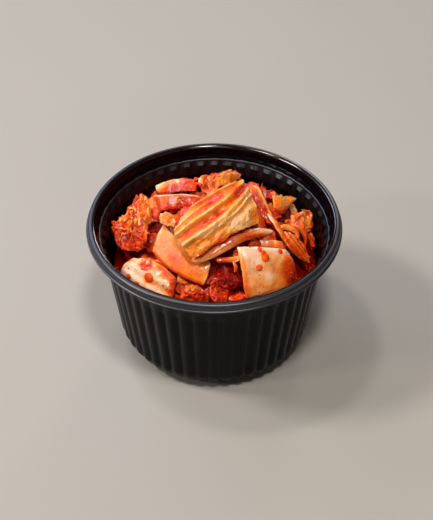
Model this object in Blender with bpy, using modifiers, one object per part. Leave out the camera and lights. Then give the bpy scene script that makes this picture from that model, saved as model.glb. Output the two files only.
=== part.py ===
"""Cabbage kimchi heaped in a fluted round takeaway bowl.

The bowl is moulded black plastic: a rolled rim on a thin flange, a smooth seat for
a lid, a tapering wall of convex flutes and a rounded bottom on a flat foot ring.
The kimchi is a heap of cut napa cabbage. The cuts that can be told apart are solids
of their own, bent strips laid on the heap, and the heap is one solid that fits the
bowl, keeps an uneven top and lies just under every strip.

Lengths below are in millimetres; metres() turns them into the scene's units.
"""
import math

import bmesh
import bpy
from mathutils import Vector, noise
from mathutils.bvhtree import BVHTree

MM = 0.001

# ---- Driving dimensions of the bowl ------------------------------------------------
RIM_RADIUS = 60.0          # outer edge of the flange
BOWL_HEIGHT = 69.0         # table to the crest of the rim
BEAD_RADIUS = 57.7         # middle of the rolled rim
FLANGE_DROP = 3.4          # crest of the rim to the top of the flange
FLANGE_THICK = 0.6
SEAT_DROP = 6.4            # crest of the rim to the foot of the lid seat
WALL_TOP_RADIUS = 55.2     # crest of a flute, just under the flange
WALL_FOOT_RADIUS = 45.4    # the same wall line carried down to the table
WALL_THICK = 0.9
BOTTOM_ROUND = 11.0        # height of the rounded bottom
FOOT_RADIUS = 34.0
FOOT_WIDTH = 4.0
FOOT_RISE = 0.8            # the middle of the base stands clear of the table
FLOOR_THICK = 1.0
FLUTES = 48
FLUTE_DEPTH_TOP = 0.5
FLUTE_DEPTH_LOW = 1.0
SHALLOW_BAND = 12.0        # height of the band of shallow flutes under the flange
STEPS_PER_FLUTE = 2

# ---- Driving dimensions of the food ------------------------------------------------
MOUND_RISE = 10.5          # top of the heap above the crest of the rim
MOUND_FALL = 26.0          # how far it falls away over the half spreads below
MOUND_SPREAD_X = 48.0
MOUND_SPREAD_FRONT = 47.0
MOUND_SPREAD_BACK = 34.0
MOUND_BACK = 6.0           # the top of the heap lies this far behind the middle
WALL_LEVEL_FRONT = -16.0   # where the heap meets the wall, below the rim
WALL_LEVEL_SIDE = -25.0
HEAP_SECTORS = 54
HEAP_RINGS = 14
HEAP_GAP = 0.6             # clearance between the heap and the bowl
PIECE_GAP = 1.0            # clearance under the strips that lie on the heap
LARGEST_PROP = 6.0         # how far the heap rises above its free surface to carry a strip
UNEVEN = 1.8               # height of the heap's unevenness
UNEVEN_SIZE = 9.0          # and its width


def metres(x, y, z):
    """A point in millimetres as a vector in metres."""
    return Vector((x, y, z)) * MM


def blend(low, high, value):
    """0 below low, 1 above high and a smooth ramp between."""
    part = min(1.0, max(0.0, (value - low) / (high - low)))
    return part * part * (3.0 - 2.0 * part)


# ---- The scene ---------------------------------------------------------------------
def clear_scene():
    for item in list(bpy.data.objects):
        bpy.data.objects.remove(item, do_unlink=True)


def collection(name):
    made = bpy.data.collections.new(name)
    bpy.context.scene.collection.children.link(made)
    return made


def principled(name, colour, roughness):
    material = bpy.data.materials.new(name)
    material.use_nodes = True
    shader = material.node_tree.nodes["Principled BSDF"]
    shader.inputs["Base Color"].default_value = (*colour, 1.0)
    shader.inputs["Roughness"].default_value = roughness
    shader.inputs["Metallic"].default_value = 0.0
    return material


def add_object(name, mesh, material, home, smooth_angle=35.0):
    thing = bpy.data.objects.new(name, mesh)
    home.objects.link(thing)
    mesh.materials.clear()
    mesh.materials.append(material)
    mesh.shade_smooth()
    mesh.set_sharp_from_angle(angle=math.radians(smooth_angle))
    return thing


def turned_mesh(profile, steps):
    """The closed mesh of a profile of (radius, height) points turned about Z."""
    line = bpy.data.meshes.new("profile")
    points = [metres(radius, 0.0, height) for radius, height in profile]
    line.from_pydata(points, [(i, i + 1) for i in range(len(points) - 1)], [])
    guide = bpy.data.objects.new("profile", line)
    bpy.context.scene.collection.objects.link(guide)
    screw = guide.modifiers.new("Turn", "SCREW")
    screw.axis = "Z"
    screw.steps = steps
    screw.render_steps = steps
    screw.use_merge_vertices = True
    screw.merge_threshold = 0.00001
    ready = guide.evaluated_get(bpy.context.evaluated_depsgraph_get())
    mesh = bpy.data.meshes.new_from_object(ready)
    bpy.data.objects.remove(guide, do_unlink=True)
    bpy.data.meshes.remove(line)
    return mesh


# ---- The bowl ----------------------------------------------------------------------
def wall_radius(z):
    """Radius of the wall at the crest of a flute, before the bottom rounds under."""
    straight = WALL_FOOT_RADIUS + z * (WALL_TOP_RADIUS - 0.6 - WALL_FOOT_RADIUS) / BOWL_HEIGHT
    return straight + 0.6 * blend(BOWL_HEIGHT - 16.0, BOWL_HEIGHT - 6.0, z)


def outer_radius(z):
    """Outside of the bowl at the crest of a flute, with the rounded bottom."""
    if z >= BOTTOM_ROUND:
        return wall_radius(z)
    reach = math.sqrt(1.0 - (1.0 - z / BOTTOM_ROUND) ** 2)
    return FOOT_RADIUS + (wall_radius(BOTTOM_ROUND) - FOOT_RADIUS) * reach


def flute_depth(z):
    """Depth of the valleys between flutes: shallow at the top, none at the foot."""
    under_band = BOWL_HEIGHT - FLANGE_DROP - SHALLOW_BAND
    low = 1.0 - blend(under_band - 2.0, under_band + 1.0, z)
    depth = FLUTE_DEPTH_TOP + (FLUTE_DEPTH_LOW - FLUTE_DEPTH_TOP) * low
    return depth * blend(0.2, 2.5, z)


def flute_valley(angle):
    """0 on the crest of a flute and 1 in the crease between two flutes."""
    return 1.0 - abs(math.cos(0.5 * FLUTES * (angle + 0.5 * math.pi)))


def inner_radius(z):
    """Inside of the wall at the crest of a flute."""
    lifted = max(0.0, z - FLOOR_THICK)
    return outer_radius(lifted) - WALL_THICK


OUTER_LEVELS = (55.0, 51.0, 32.0, BOTTOM_ROUND, 5.2, 1.6)
INNER_LEVELS = (6.2, 12.0, 51.0, 55.0)


def bowl_profile():
    """From the middle of the inner floor, up the inside, over the rim and down outside."""
    top = BOWL_HEIGHT
    seat = top - SEAT_DROP
    flange = top - FLANGE_DROP
    floor = FOOT_RISE + FLOOR_THICK
    inside = [(0.0, floor), (FOOT_RADIUS - 1.5, floor), (inner_radius(2.6), 2.6)]
    inside += [(inner_radius(z), z) for z in INNER_LEVELS]
    lid_seat = [(53.5, seat - 0.8), (54.5, seat), (55.1, top - 2.4), (55.7, top - 0.8)]
    rim = [
        (BEAD_RADIUS - 0.6, top), (BEAD_RADIUS + 0.6, top - 0.1), (59.2, top - 1.1),
        (59.4, flange), (RIM_RADIUS, flange), (RIM_RADIUS, flange - FLANGE_THICK),
        (WALL_TOP_RADIUS, flange - FLANGE_THICK - 0.2),
    ]
    outside = [(outer_radius(z), z) for z in OUTER_LEVELS]
    foot = [
        (FOOT_RADIUS, 0.0), (FOOT_RADIUS - FOOT_WIDTH, 0.0),
        (FOOT_RADIUS - FOOT_WIDTH - 0.8, FOOT_RISE), (0.0, FOOT_RISE),
    ]
    return inside + lid_seat + rim + outside + foot


def build_bowl(home):
    mesh = turned_mesh(bowl_profile(), FLUTES * STEPS_PER_FLUTE)
    flange_foot = BOWL_HEIGHT - FLANGE_DROP - FLANGE_THICK
    for vertex in mesh.vertices:
        x, y, z = vertex.co / MM
        radius = math.hypot(x, y)
        fluted = radius > FOOT_RADIUS and z < flange_foot - 1.0
        seat_wall = radius < WALL_TOP_RADIUS and z > BOWL_HEIGHT - SEAT_DROP - 1.5
        if fluted and not seat_wall:
            angle = math.atan2(y, x)
            shrunk = radius - flute_depth(z) * flute_valley(angle)
            vertex.co = metres(shrunk * math.cos(angle), shrunk * math.sin(angle), z)
    return add_object("bowl", mesh, principled("black plastic", (0.012, 0.011, 0.014), 0.32), home)


# ---- The cut pieces of cabbage -----------------------------------------------------
# A piece is a bent strip. Its stations run from one end to the other; each gives the
# middle of the strip and the vector from there to its lower or nearer edge, both in
# millimetres from the middle of the rim. Bow is how far the strip arches across.
PIECES = {
    "pleated_leaf": {
        "colour": "leaf", "thick": 1.5, "bow": 1.2, "pleats": 3.0, "depth": 1.5, "cells": (8, 12),
        "stations": [
            ((17.2, -1.2, 10.6), (4.4, -11.0, -3.7)), ((9.0, -8.0, 12.2), (4.3, -10.2, -4.5)),
            ((0.5, -13.6, 11.2), (4.3, -9.3, -4.6)), ((-7.4, -18.8, 8.4), (4.6, -8.6, -4.5)),
            ((-15.0, -24.4, 3.8), (4.8, -6.8, -3.2))],
    },
    "long_stem": {
        "colour": "stem", "thick": 2.6, "bow": 0.3, "cells": (9, 2),
        "stations": [
            ((27.0, -11.0, 1.0), (-0.2, -1.9, -0.8)), ((19.0, -14.4, 2.9), (0.3, -2.2, -1.1)),
            ((12.0, -17.0, 3.4), (0.9, -2.2, -1.3)), ((3.8, -21.8, 1.8), (1.1, -2.3, -1.4)),
            ((-3.6, -25.4, -0.6), (1.5, -2.3, -1.4)), ((-10.0, -27.8, -2.4), (1.1, -2.0, -1.2))],
    },
    "square_stem": {
        "colour": "stem", "thick": 3.4, "bow": 0.8, "cells": (5, 5),
        "stations": [
            ((21.5, -19.6, -1.2), (11.6, 3.1, -3.6)), ((23.9, -24.3, -5.2), (12.3, 4.2, -3.3)),
            ((25.5, -29.6, -10.5), (12.5, 5.3, -2.6)), ((26.6, -34.2, -15.6), (12.6, 6.2, -1.6))],
    },
    "glossy_stem": {
        "colour": "stem", "thick": 3.6, "bow": 1.0, "cells": (6, 4),
        "stations": [
            ((-41.6, -18.2, -13.6), (-3.4, -1.4, -3.8)), ((-33.0, -26.0, -11.2), (-3.2, -3.7, -5.2)),
            ((-25.6, -31.6, -11.4), (-2.2, -4.3, -5.1)), ((-17.8, -36.2, -12.8), (-1.4, -3.6, -4.2))],
    },
    "front_leaf": {
        "colour": "leaf", "thick": 2.2, "bow": 1.2, "pleats": 1.5, "depth": 0.8, "cells": (5, 5),
        "stations": [
            ((-14.6, -36.8, -13.4), (-1.6, -2.6, -3.0)), ((-9.6, -37.8, -13.6), (-1.2, -2.8, -2.8)),
            ((-4.2, -38.4, -14.4), (-0.6, -2.6, -2.2))],
    },
    "wedge_leaf": {
        "colour": "leaf", "thick": 1.6, "bow": 0.8, "cells": (7, 4),
        "stations": [
            ((-26.3, -12.6, -0.8), (-2.7, -5.4, -3.9)), ((-19.5, -20.6, -3.6), (-2.9, -4.9, -3.8)),
            ((-10.8, -26.9, -6.0), (-2.5, -4.4, -3.6)), ((-2.8, -30.5, -7.8), (-1.8, -4.3, -3.3))],
    },
    "upper_stem": {
        "colour": "stem", "thick": 2.2, "bow": -0.8, "cells": (6, 3),
        "stations": [
            ((-27.7, 12.8, 7.2), (1.3, -2.9, 0.6)), ((-22.3, 10.6, 10.2), (0.8, -3.4, -0.5)),
            ((-15.5, 8.8, 12.6), (0.5, -3.5, -0.8)), ((-8.4, 7.4, 13.9), (0.7, -3.6, -1.0))],
    },
    "folded_stem": {
        "colour": "stem", "thick": 1.8, "bow": 0.6, "cells": (6, 3),
        "stations": [
            ((-27.3, 5.6, 3.6), (1.1, -5.2, -0.6)), ((-20.6, 3.2, 6.6), (1.0, -3.8, -1.1)),
            ((-12.6, 1.2, 9.2), (0.5, -2.9, -1.3)), ((-6.4, -0.4, 10.0), (-0.3, -2.6, -1.0))],
    },
    "crumpled_leaf": {
        "colour": "leaf", "thick": 1.6, "bow": 1.0, "pleats": 2.0, "depth": 1.0, "cells": (7, 6),
        "stations": [
            ((-3.6, 9.6, 12.8), (0.3, -4.6, -0.4)), ((0.6, 11.4, 14.0), (0.0, -5.6, -0.4)),
            ((6.4, 13.4, 13.8), (-0.2, -5.0, -0.2)), ((12.2, 15.6, 12.2), (-0.1, -2.6, 0.2))],
    },
    "left_leaf": {
        "colour": "leaf", "thick": 2.4, "bow": 2.0, "pleats": 2.5, "depth": 1.0, "cells": (8, 9),
        "stations": [
            ((-32.0, 8.9, 3.4), (3.0, -4.4, 2.0)), ((-34.0, 1.3, 0.9), (5.4, -8.4, 3.0)),
            ((-37.0, -4.0, -3.0), (7.2, -10.0, 3.4)), ((-39.4, -7.8, -6.6), (7.8, -9.6, 3.3)),
            ((-40.2, -12.2, -9.6), (6.0, -6.2, 2.4))],
    },
    "curled_leaf": {
        "colour": "leaf", "thick": 1.3, "bow": 1.8, "cells": (6, 5),
        "stations": [
            ((26.6, 2.4, 6.4), (0.5, -5.0, -1.2)), ((30.4, 4.0, 4.4), (0.0, -5.8, -1.2)),
            ((34.2, 9.0, 1.2), (-0.5, -5.2, -0.1)), ((37.4, 13.6, -1.2), (-0.6, -2.2, 0.3))],
    },
    "right_leaf": {
        "colour": "leaf", "thick": 2.2, "bow": 1.6, "pleats": 2.0, "depth": 0.8, "cells": (6, 6),
        "stations": [
            ((41.6, 8.4, -4.4), (4.0, 3.9, -3.6)), ((41.2, 1.6, -4.8), (4.8, 3.8, -3.7)),
            ((40.8, -4.6, -5.8), (4.4, 2.5, -3.2))],
    },
    "dangling_leaf": {
        "colour": "leaf", "thick": 2.0, "bow": 1.0, "pleats": 2.0, "depth": 0.8, "cells": (6, 6),
        "stations": [
            ((33.4, -9.6, -1.4), (3.6, 0.8, -2.3)), ((36.4, -12.4, -4.6), (4.4, 2.0, -2.8)),
            ((39.8, -14.8, -8.8), (3.6, 1.7, -2.4)), ((42.4, -17.0, -13.0), (2.0, 0.5, -1.4))],
    },
    "red_leaf": {
        "colour": "leaf", "thick": 1.6, "bow": 0.8, "cells": (6, 3),
        "stations": [
            ((17.6, 12.4, 9.4), (2.6, 0.2, -0.9)), ((21.4, 5.4, 6.6), (3.0, 0.6, -1.4)),
            ((24.4, -2.0, 3.6), (2.9, 0.5, -1.4)), ((26.8, -7.6, 1.6), (2.5, 0.5, -1.2))],
    },
    "small_stem": {
        "colour": "stem", "thick": 3.0, "bow": 0.6, "cells": (3, 3),
        "stations": [((-20.8, -4.6, 6.6), (2.8, -1.0, 0.9)), ((-20.8, -9.6, 4.9), (2.6, -1.2, 0.6))],
    },
}

LEAF_COLOUR = (0.72, 0.21, 0.035)
STEM_COLOUR = (0.80, 0.42, 0.20)
HEAP_COLOUR = (0.36, 0.022, 0.008)


def along(stations, u):
    """Middle and half-width vector of a strip at u, from 0 to 1 (Catmull-Rom)."""
    count = len(stations) - 1
    first = min(int(u * count), count - 1)
    t = u * count - first
    picks = [stations[max(0, min(count, first + step))] for step in (-1, 0, 1, 2)]
    pair = []
    for part in (0, 1):
        a, b, c, d = (Vector(station[part]) for station in picks)
        slope_in = (c - a) * (0.5 if first > 0 else 1.0)
        slope_out = (d - b) * (0.5 if first < count - 1 else 1.0)
        bend = (b * (2 * t ** 3 - 3 * t ** 2 + 1) + slope_in * (t ** 3 - 2 * t ** 2 + t)
                + c * (3 * t ** 2 - 2 * t ** 3) + slope_out * (t ** 3 - t ** 2))
        pair.append(bend)
    return pair


def strip_point(piece, u, v):
    """A point of the strip's middle surface; v runs from -1 at one edge to 1 at the other."""
    middle, half = along(piece["stations"], u)
    ahead = along(piece["stations"], min(1.0, u + 0.02))[0]
    behind = along(piece["stations"], max(0.0, u - 0.02))[0]
    normal = (ahead - behind).cross(half).normalized()
    if normal.z < 0.0:
        normal = -normal
    lift = piece["bow"] * (1.0 - v * v)
    lift += piece.get("depth", 0.0) * 0.5 * math.cos(math.pi * piece.get("pleats", 0.0) * (v + 1.0))
    return middle + half * v + normal * lift


def build_piece(name, piece, materials, home):
    """An open grid over the strip, given its thickness by Solidify."""
    long_cells, cross_cells = piece["cells"]
    grid = bmesh.new()
    rows = []
    for i in range(long_cells + 1):
        u = i / long_cells
        row = [strip_point(piece, u, 2.0 * j / cross_cells - 1.0) for j in range(cross_cells + 1)]
        rows.append([grid.verts.new(metres(p.x, p.y, p.z + BOWL_HEIGHT)) for p in row])
    for near, far in zip(rows, rows[1:]):
        for j in range(cross_cells):
            grid.faces.new((near[j], near[j + 1], far[j + 1], far[j]))
    mesh = bpy.data.meshes.new(name)
    grid.to_mesh(mesh)
    grid.free()
    thing = add_object(name, mesh, materials[piece["colour"]], home, smooth_angle=50.0)
    solid = thing.modifiers.new("Thickness", "SOLIDIFY")
    solid.thickness = piece["thick"] * MM
    solid.offset = 0.0
    return thing


# ---- The heap under them -----------------------------------------------------------
def mound_height(x, y):
    """Height of the heap's free surface above the table, without its wall edge."""
    spread_y = MOUND_SPREAD_BACK if y > MOUND_BACK else MOUND_SPREAD_FRONT
    fall = (x / MOUND_SPREAD_X) ** 2 + ((y - MOUND_BACK) / spread_y) ** 2
    bumps = noise.noise(Vector((x, y, 7.0)) / UNEVEN_SIZE) * UNEVEN
    return BOWL_HEIGHT + MOUND_RISE - MOUND_FALL * fall + bumps


def wall_level(angle):
    """Height at which the heap meets the wall, higher at the front than elsewhere."""
    front = max(0.0, -math.sin(angle)) ** 3
    wander = 0.8 * math.sin(3.0 * angle + 1.0)
    return BOWL_HEIGHT + WALL_LEVEL_SIDE + (WALL_LEVEL_FRONT - WALL_LEVEL_SIDE) * front + wander


def underside(trees, x, y, reach=0.0):
    """Lowest point of any piece above (x, y) or within reach of it, or None."""
    spots = [(x, y)]
    for k in range(16 if reach > 0.0 else 0):
        length = reach * (0.5 if k % 2 else 1.0)
        spots.append((x + length * math.cos(k * math.pi / 8), y + length * math.sin(k * math.pi / 8)))
    found = []
    for spot_x, spot_y in spots:
        for tree in trees:
            hit = tree.ray_cast(metres(spot_x, spot_y, 0.0), Vector((0.0, 0.0, 1.0)))[0]
            if hit is not None:
                found.append(hit.z / MM)
    return min(found, default=None)


def heap_top(trees, x, y, free_height, reach):
    """The heap's height at (x, y): its free surface, or just under the pieces it carries."""
    lowest = underside(trees, x, y, reach)
    if lowest is None:
        return free_height
    carried = lowest - PIECE_GAP
    if underside(trees, x, y) is None:
        return min(free_height, carried)
    return min(carried, free_height + LARGEST_PROP)


def side_radius(z):
    """Radius of the heap's side: the fluted wall's valleys, less the clearance."""
    floor = FOOT_RISE + FLOOR_THICK
    levels = [(FOOT_RADIUS - 1.5, floor), (inner_radius(2.6) - flute_depth(2.6), 2.6)]
    levels += [(inner_radius(h) - flute_depth(h), h) for h in INNER_LEVELS]
    for (low_radius, low), (high_radius, high) in zip(levels, levels[1:]):
        if z <= high:
            share = max(0.0, (z - low) / (high - low))
            return low_radius + (high_radius - low_radius) * share - HEAP_GAP
    return levels[-1][0] - HEAP_GAP


def build_heap(pieces, home):
    """A turned blank whose top, side and edge are moved to the heap's real shape."""
    floor = FOOT_RISE + FLOOR_THICK + HEAP_GAP
    level = BOWL_HEIGHT + WALL_LEVEL_SIDE
    edge = 50.0
    side = [(edge, level), (edge, 32.0), (edge, 12.0), (edge, 5.0), (FOOT_RADIUS - 2.5, floor), (0.0, floor)]
    top = [(edge * ring / HEAP_RINGS, level + 1.0) for ring in range(HEAP_RINGS)]
    mesh = turned_mesh(top + side, HEAP_SECTORS)
    graph = bpy.context.evaluated_depsgraph_get()
    trees = [BVHTree.FromObject(piece, graph) for piece in pieces]
    reach = edge / HEAP_RINGS + 1.0
    for vertex in mesh.vertices:
        x, y, z = vertex.co / MM
        radius = math.hypot(x, y)
        angle = math.atan2(y, x)
        rim_of_heap = wall_level(angle)
        if z > level + 0.5:
            share = radius / edge
            radius = share * side_radius(rim_of_heap)
            x, y = radius * math.cos(angle), radius * math.sin(angle)
            meet = blend(0.72, 1.0, share)
            free_height = mound_height(x, y) * (1.0 - meet) + rim_of_heap * meet
            z = heap_top(trees, x, y, free_height, reach)
        elif radius > FOOT_RADIUS:
            z = floor + (z - floor) * (rim_of_heap - floor) / (level - floor)
            radius = side_radius(z)
            x, y = radius * math.cos(angle), radius * math.sin(angle)
            lowest = underside(trees, x, y, reach)
            z = z if lowest is None else min(z, lowest - PIECE_GAP)
        vertex.co = metres(x, y, z)
    return add_object("kimchi_heap", mesh, principled("red kimchi", HEAP_COLOUR, 0.3), home, 60.0)


def main():
    clear_scene()
    home = collection("kimchi_bowl")
    build_bowl(home)
    materials = {
        "leaf": principled("kimchi leaf", LEAF_COLOUR, 0.3),
        "stem": principled("kimchi stem", STEM_COLOUR, 0.25),
    }
    pieces = [build_piece(name, piece, materials, home) for name, piece in PIECES.items()]
    bpy.context.view_layer.update()
    build_heap(pieces, home)


main()
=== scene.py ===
# %% [markdown]
# # A bowl of kimchi
# A black takeaway bowl with 48 flutes, heaped with cut cabbage kimchi. The bowl is one clean
# turned shape; the food is the lesson: translucent leaves and ribs, each a bent sheet with
# its own pleats, ragged outline and stain, over a wet core of red sauce, with crushed chili
# and beads of oil strewn by Geometry Nodes.

import math

import bmesh
import bpy
import numpy as np
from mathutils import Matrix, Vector
from mathutils.bvhtree import BVHTree


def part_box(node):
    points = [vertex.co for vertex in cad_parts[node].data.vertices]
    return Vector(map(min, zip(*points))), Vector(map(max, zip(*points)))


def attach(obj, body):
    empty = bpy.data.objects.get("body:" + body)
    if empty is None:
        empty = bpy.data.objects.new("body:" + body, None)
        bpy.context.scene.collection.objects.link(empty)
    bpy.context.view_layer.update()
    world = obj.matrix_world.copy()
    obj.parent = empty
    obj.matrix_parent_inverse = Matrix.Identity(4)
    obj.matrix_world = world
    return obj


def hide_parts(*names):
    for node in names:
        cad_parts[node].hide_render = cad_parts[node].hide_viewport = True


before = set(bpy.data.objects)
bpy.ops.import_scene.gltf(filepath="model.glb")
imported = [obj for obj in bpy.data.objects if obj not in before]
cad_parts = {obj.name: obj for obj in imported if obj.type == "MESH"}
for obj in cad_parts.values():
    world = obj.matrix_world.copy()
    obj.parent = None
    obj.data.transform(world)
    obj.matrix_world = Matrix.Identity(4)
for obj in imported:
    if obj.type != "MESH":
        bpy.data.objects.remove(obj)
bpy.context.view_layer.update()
MM = 0.001
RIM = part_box("bowl")[1][2] / MM
print("bowl rim at", round(RIM, 2), "mm;", len(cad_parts), "solids")

# %% [markdown]
# ## Camera, floor and light
# The bowl is seen from well above, as by someone at the table, through a long lens that
# keeps its sides nearly parallel. A plain pale floor fills the view. The light is a room's:
# small windows high and low at the left, an overhead lamp and a bulb put wet highlights on
# the food; cool sheets behind it and a window at the back are what the dark rim mirrors; and
# a faint sheet in front keeps the flutes readable.

# %% Camera
LOOK_DOWN = math.radians(42.8)
AIM = Vector((0.0, 0.0, 0.032))
DISTANCE = 0.6
FOCAL_LENGTH = 85.15
SHIFT = (0.00433, 0.03077)
lens = bpy.data.cameras.new("camera")
lens.lens = FOCAL_LENGTH
lens.sensor_width = 36.0
lens.shift_x, lens.shift_y = SHIFT
camera = bpy.data.objects.new("camera", lens)
camera.location = AIM + DISTANCE * Vector((0.0, -math.cos(LOOK_DOWN), math.sin(LOOK_DOWN)))
camera.rotation_euler = (math.pi / 2 - LOOK_DOWN, 0.0, 0.0)
bpy.context.collection.objects.link(camera)
bpy.context.scene.camera = camera
bpy.context.scene.view_settings.view_transform = "Standard"
print("camera at", [round(c, 3) for c in camera.location])

# %% [markdown]
# A few helpers serve every step. Colours are given as sRGB and turned to linear in one
# place; a node is added with its settings and links in one call; a mesh is made from points
# in millimetres, which suit food better than metres; and rings of points are closed to a
# solid in the same way for the bowl, the core and the drops.

# %% Colour and node helpers
def linear(code):
    """An sRGB hex colour such as "#d8430a" as the linear colour that a socket takes."""
    parts = [int(code[k:k + 2], 16) / 255.0 for k in (1, 3, 5)]
    parts = [p / 12.92 if p <= 0.04045 else ((p + 0.055) / 1.055) ** 2.4 for p in parts]
    return (*parts, 1.0)


def add(tree, kind, inputs=None, stops=None, **settings):
    """Add a node. Each input, by name or number, gets a value or another node's output."""
    node = tree.nodes.new(kind)
    for key, value in settings.items():
        setattr(node, key, value)
    for key, value in (inputs or {}).items():
        if isinstance(value, bpy.types.NodeSocket):
            tree.links.new(value, node.inputs[key])
        else:
            node.inputs[key].default_value = value
    if stops:
        ramp = node.color_ramp.elements
        while len(ramp) < len(stops):
            ramp.new(0.5)
        for element, (position, code) in zip(ramp, stops):
            element.position = position
            element.color = linear(code)
    return node


def new_material(name):
    """An empty material and its node tree."""
    material = bpy.data.materials.new(name)
    material.use_nodes = True
    material.node_tree.nodes.clear()
    return material, material.node_tree


# %% Mesh helpers
def make_object(name, points, faces, material, values=None, flat=None):
    """A smooth mesh object from points in millimetres, with values stored on its points."""
    mesh = bpy.data.meshes.new(name)
    mesh.from_pydata((np.asarray(points) * MM).tolist(), [], list(faces))
    mesh.polygons.foreach_set("use_smooth", [True] * len(mesh.polygons))
    for key, numbers in (values or {}).items():
        column = mesh.attributes.new(key, "FLOAT", "POINT")
        column.data.foreach_set("value", np.ravel(numbers).astype(np.float32))
    if flat is not None:
        corners = np.empty(len(mesh.loops), dtype=np.int64)
        mesh.loops.foreach_get("vertex_index", corners)
        layer = mesh.uv_layers.new(name="flat")
        layer.data.foreach_set("uv", np.asarray(flat)[corners].astype(np.float32).ravel())
    mesh.materials.append(material)
    obj = bpy.data.objects.new(name, mesh)
    bpy.context.collection.objects.link(obj)
    return obj


def closed_faces(rings, sectors):
    """Faces between closed rings of points, and fans that close the first and the last ring.

    The points run ring by ring; the middle of the first ring and that of the last follow them.
    """
    faces = []
    turned = (np.arange(sectors) + 1) % sectors
    for ring in range(rings - 1):
        near = ring * sectors + np.arange(sectors)
        beside = ring * sectors + turned
        faces += np.stack([near, near + sectors, beside + sectors, beside], axis=1).tolist()
    first_middle = rings * sectors
    last = (rings - 1) * sectors
    faces += [(first_middle, k, (k + 1) % sectors) for k in range(sectors)]
    faces += [(first_middle + 1, last + (k + 1) % sectors, last + k) for k in range(sectors)]
    return faces


# %% Floor
FLOOR_REACH = 2600.0
material, tree = new_material("matt_painted_board")
dust = add(tree, "ShaderNodeTexCoord")
cloud = add(tree, "ShaderNodeTexNoise", {"Vector": dust.outputs["Object"], "Scale": 6.0, "Detail": 3.0})
paint = add(tree, "ShaderNodeValToRGB", {"Fac": cloud.outputs["Fac"]}, stops=[
    (0.3, "#96928c"), (0.7, "#98948e")])
surface = add(tree, "ShaderNodeBsdfPrincipled", {"Base Color": paint.outputs["Color"], "Roughness": 0.85})
add(tree, "ShaderNodeOutputMaterial", {"Surface": surface.outputs["BSDF"]})
corners = [(x * FLOOR_REACH, y * FLOOR_REACH, 0.0) for x, y in ((-1, -1), (1, -1), (1, 1), (-1, 1))]
floor = make_object("floor", corners, [(0, 1, 2, 3)], material)

# %% Light
# Each lamp: its place and its size in metres, its power in watts, and its tint.
LAMPS = {
    "window": ((-0.98, 0.02, 1.14), (0.28, 0.20), 14.0, "#fffaf4"),
    "overhead": ((0.10, -0.45, 1.42), (0.20, 0.20), 13.5, "#fffaf4"),
    "bulb": ((-0.42, 0.22, 1.45), (0.16, 0.16), 5.5, "#fffaf4"),
    "low_window": ((-1.20, -0.45, 0.80), (0.20, 0.16), 4.5, "#fffaf4"),
    "sky_sheet": ((-0.80, 1.10, 1.00), (1.00, 0.40), 8.0, "#d4dcff"),
    "side_sheet": ((-1.05, 0.60, 1.05), (0.90, 0.25), 2.2, "#e4e8ff"),
    "back_window": ((0.35, 1.30, 0.72), (0.30, 0.15), 4.0, "#fffaf4"),
    "front_sheet": ((0.10, -1.40, 0.75), (0.90, 0.30), 1.6, "#fffaf4"),
}
LAMPS_AIM = Vector((0.0, 0.0, 0.06))
world = bpy.data.worlds.new("room")
bpy.context.scene.world = world
world.use_nodes = True
glow = world.node_tree.nodes["Background"].inputs
glow["Color"].default_value = linear("#ffe6d0")
glow["Strength"].default_value = 0.07
for name, (spot, size, power, tint) in LAMPS.items():
    lamp = bpy.data.lights.new(name, "AREA")
    lamp.shape = "RECTANGLE"
    lamp.size, lamp.size_y = size
    lamp.energy = power
    lamp.color = linear(tint)[:3]
    holder = bpy.data.objects.new(name, lamp)
    holder.location = spot
    holder.rotation_euler = (LAMPS_AIM - Vector(spot)).to_track_quat("-Z", "Y").to_euler()
    bpy.context.collection.objects.link(holder)
print("lamps:", ", ".join(LAMPS))

# %% [markdown]
# ## The bowl
# The real bowl is polypropylene, formed thin, with 48 rounded flutes that meet in sharp
# creases. A lathe could turn its profile, but the flutes change depth with height, and under
# the lid seat they stop in a ledge that reads as a row of teeth. So each ring of the profile
# is written out in numbers: a height, a radius, and how deep its creases are.

# %% Bowl measures
FLUTES = 48
WALL_TOP = 55.2
WALL_FOOT = 45.4
WALL_THICK = 0.9
WALL_FLARE = 0.6
SHALLOW_CREASE = 0.5
DEEPER_BELOW = 0.5
BOTTOM_ROUND = 11.0
FOOT_RADIUS = 34.0
FLOOR_TOP = 1.8
FOOT_RECESS = 0.8
SEAT = RIM - 6.4
FLANGE = RIM - 3.4
LIP_RADIUS = 53.45
CREST_RADIUS = 56.9


def ease(low, high, value):
    """0 below low, 1 above high, and a smooth rise between."""
    t = np.clip((value - low) / (high - low), 0.0, 1.0)
    return t * t * (3.0 - 2.0 * t)


def outer_radius(z):
    """Radius of the wall's outside at the crest of a flute."""
    wall = WALL_FOOT + z * (WALL_TOP - WALL_FLARE - WALL_FOOT) / RIM
    wall += WALL_FLARE * ease(RIM - 16.0, RIM - 6.0, z)
    knee = WALL_FOOT + BOTTOM_ROUND * (WALL_TOP - WALL_FLARE - WALL_FOOT) / RIM
    reach = math.sqrt(max(0.0, 1.0 - (1.0 - min(z, BOTTOM_ROUND) / BOTTOM_ROUND) ** 2))
    return wall if z >= BOTTOM_ROUND else FOOT_RADIUS + (knee - FOOT_RADIUS) * reach


def crease_depth(z):
    """How deep the creases are cut at height z: shallow under the flange, deep below."""
    low = 1.0 - ease(RIM - 17.4, RIM - 14.4, z)
    return (SHALLOW_CREASE + DEEPER_BELOW * low) * ease(0.2, 2.5, z)


def inner_radius(z):
    """Radius of the wall's inside at the middle of a flute."""
    return outer_radius(max(0.0, z - 1.0)) - WALL_THICK


# %% Bowl profile
INSIDE_TOP = 54.0
TEETH_FOOT = SEAT - 2.6
TEETH_TOP = SEAT - 0.95


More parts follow.
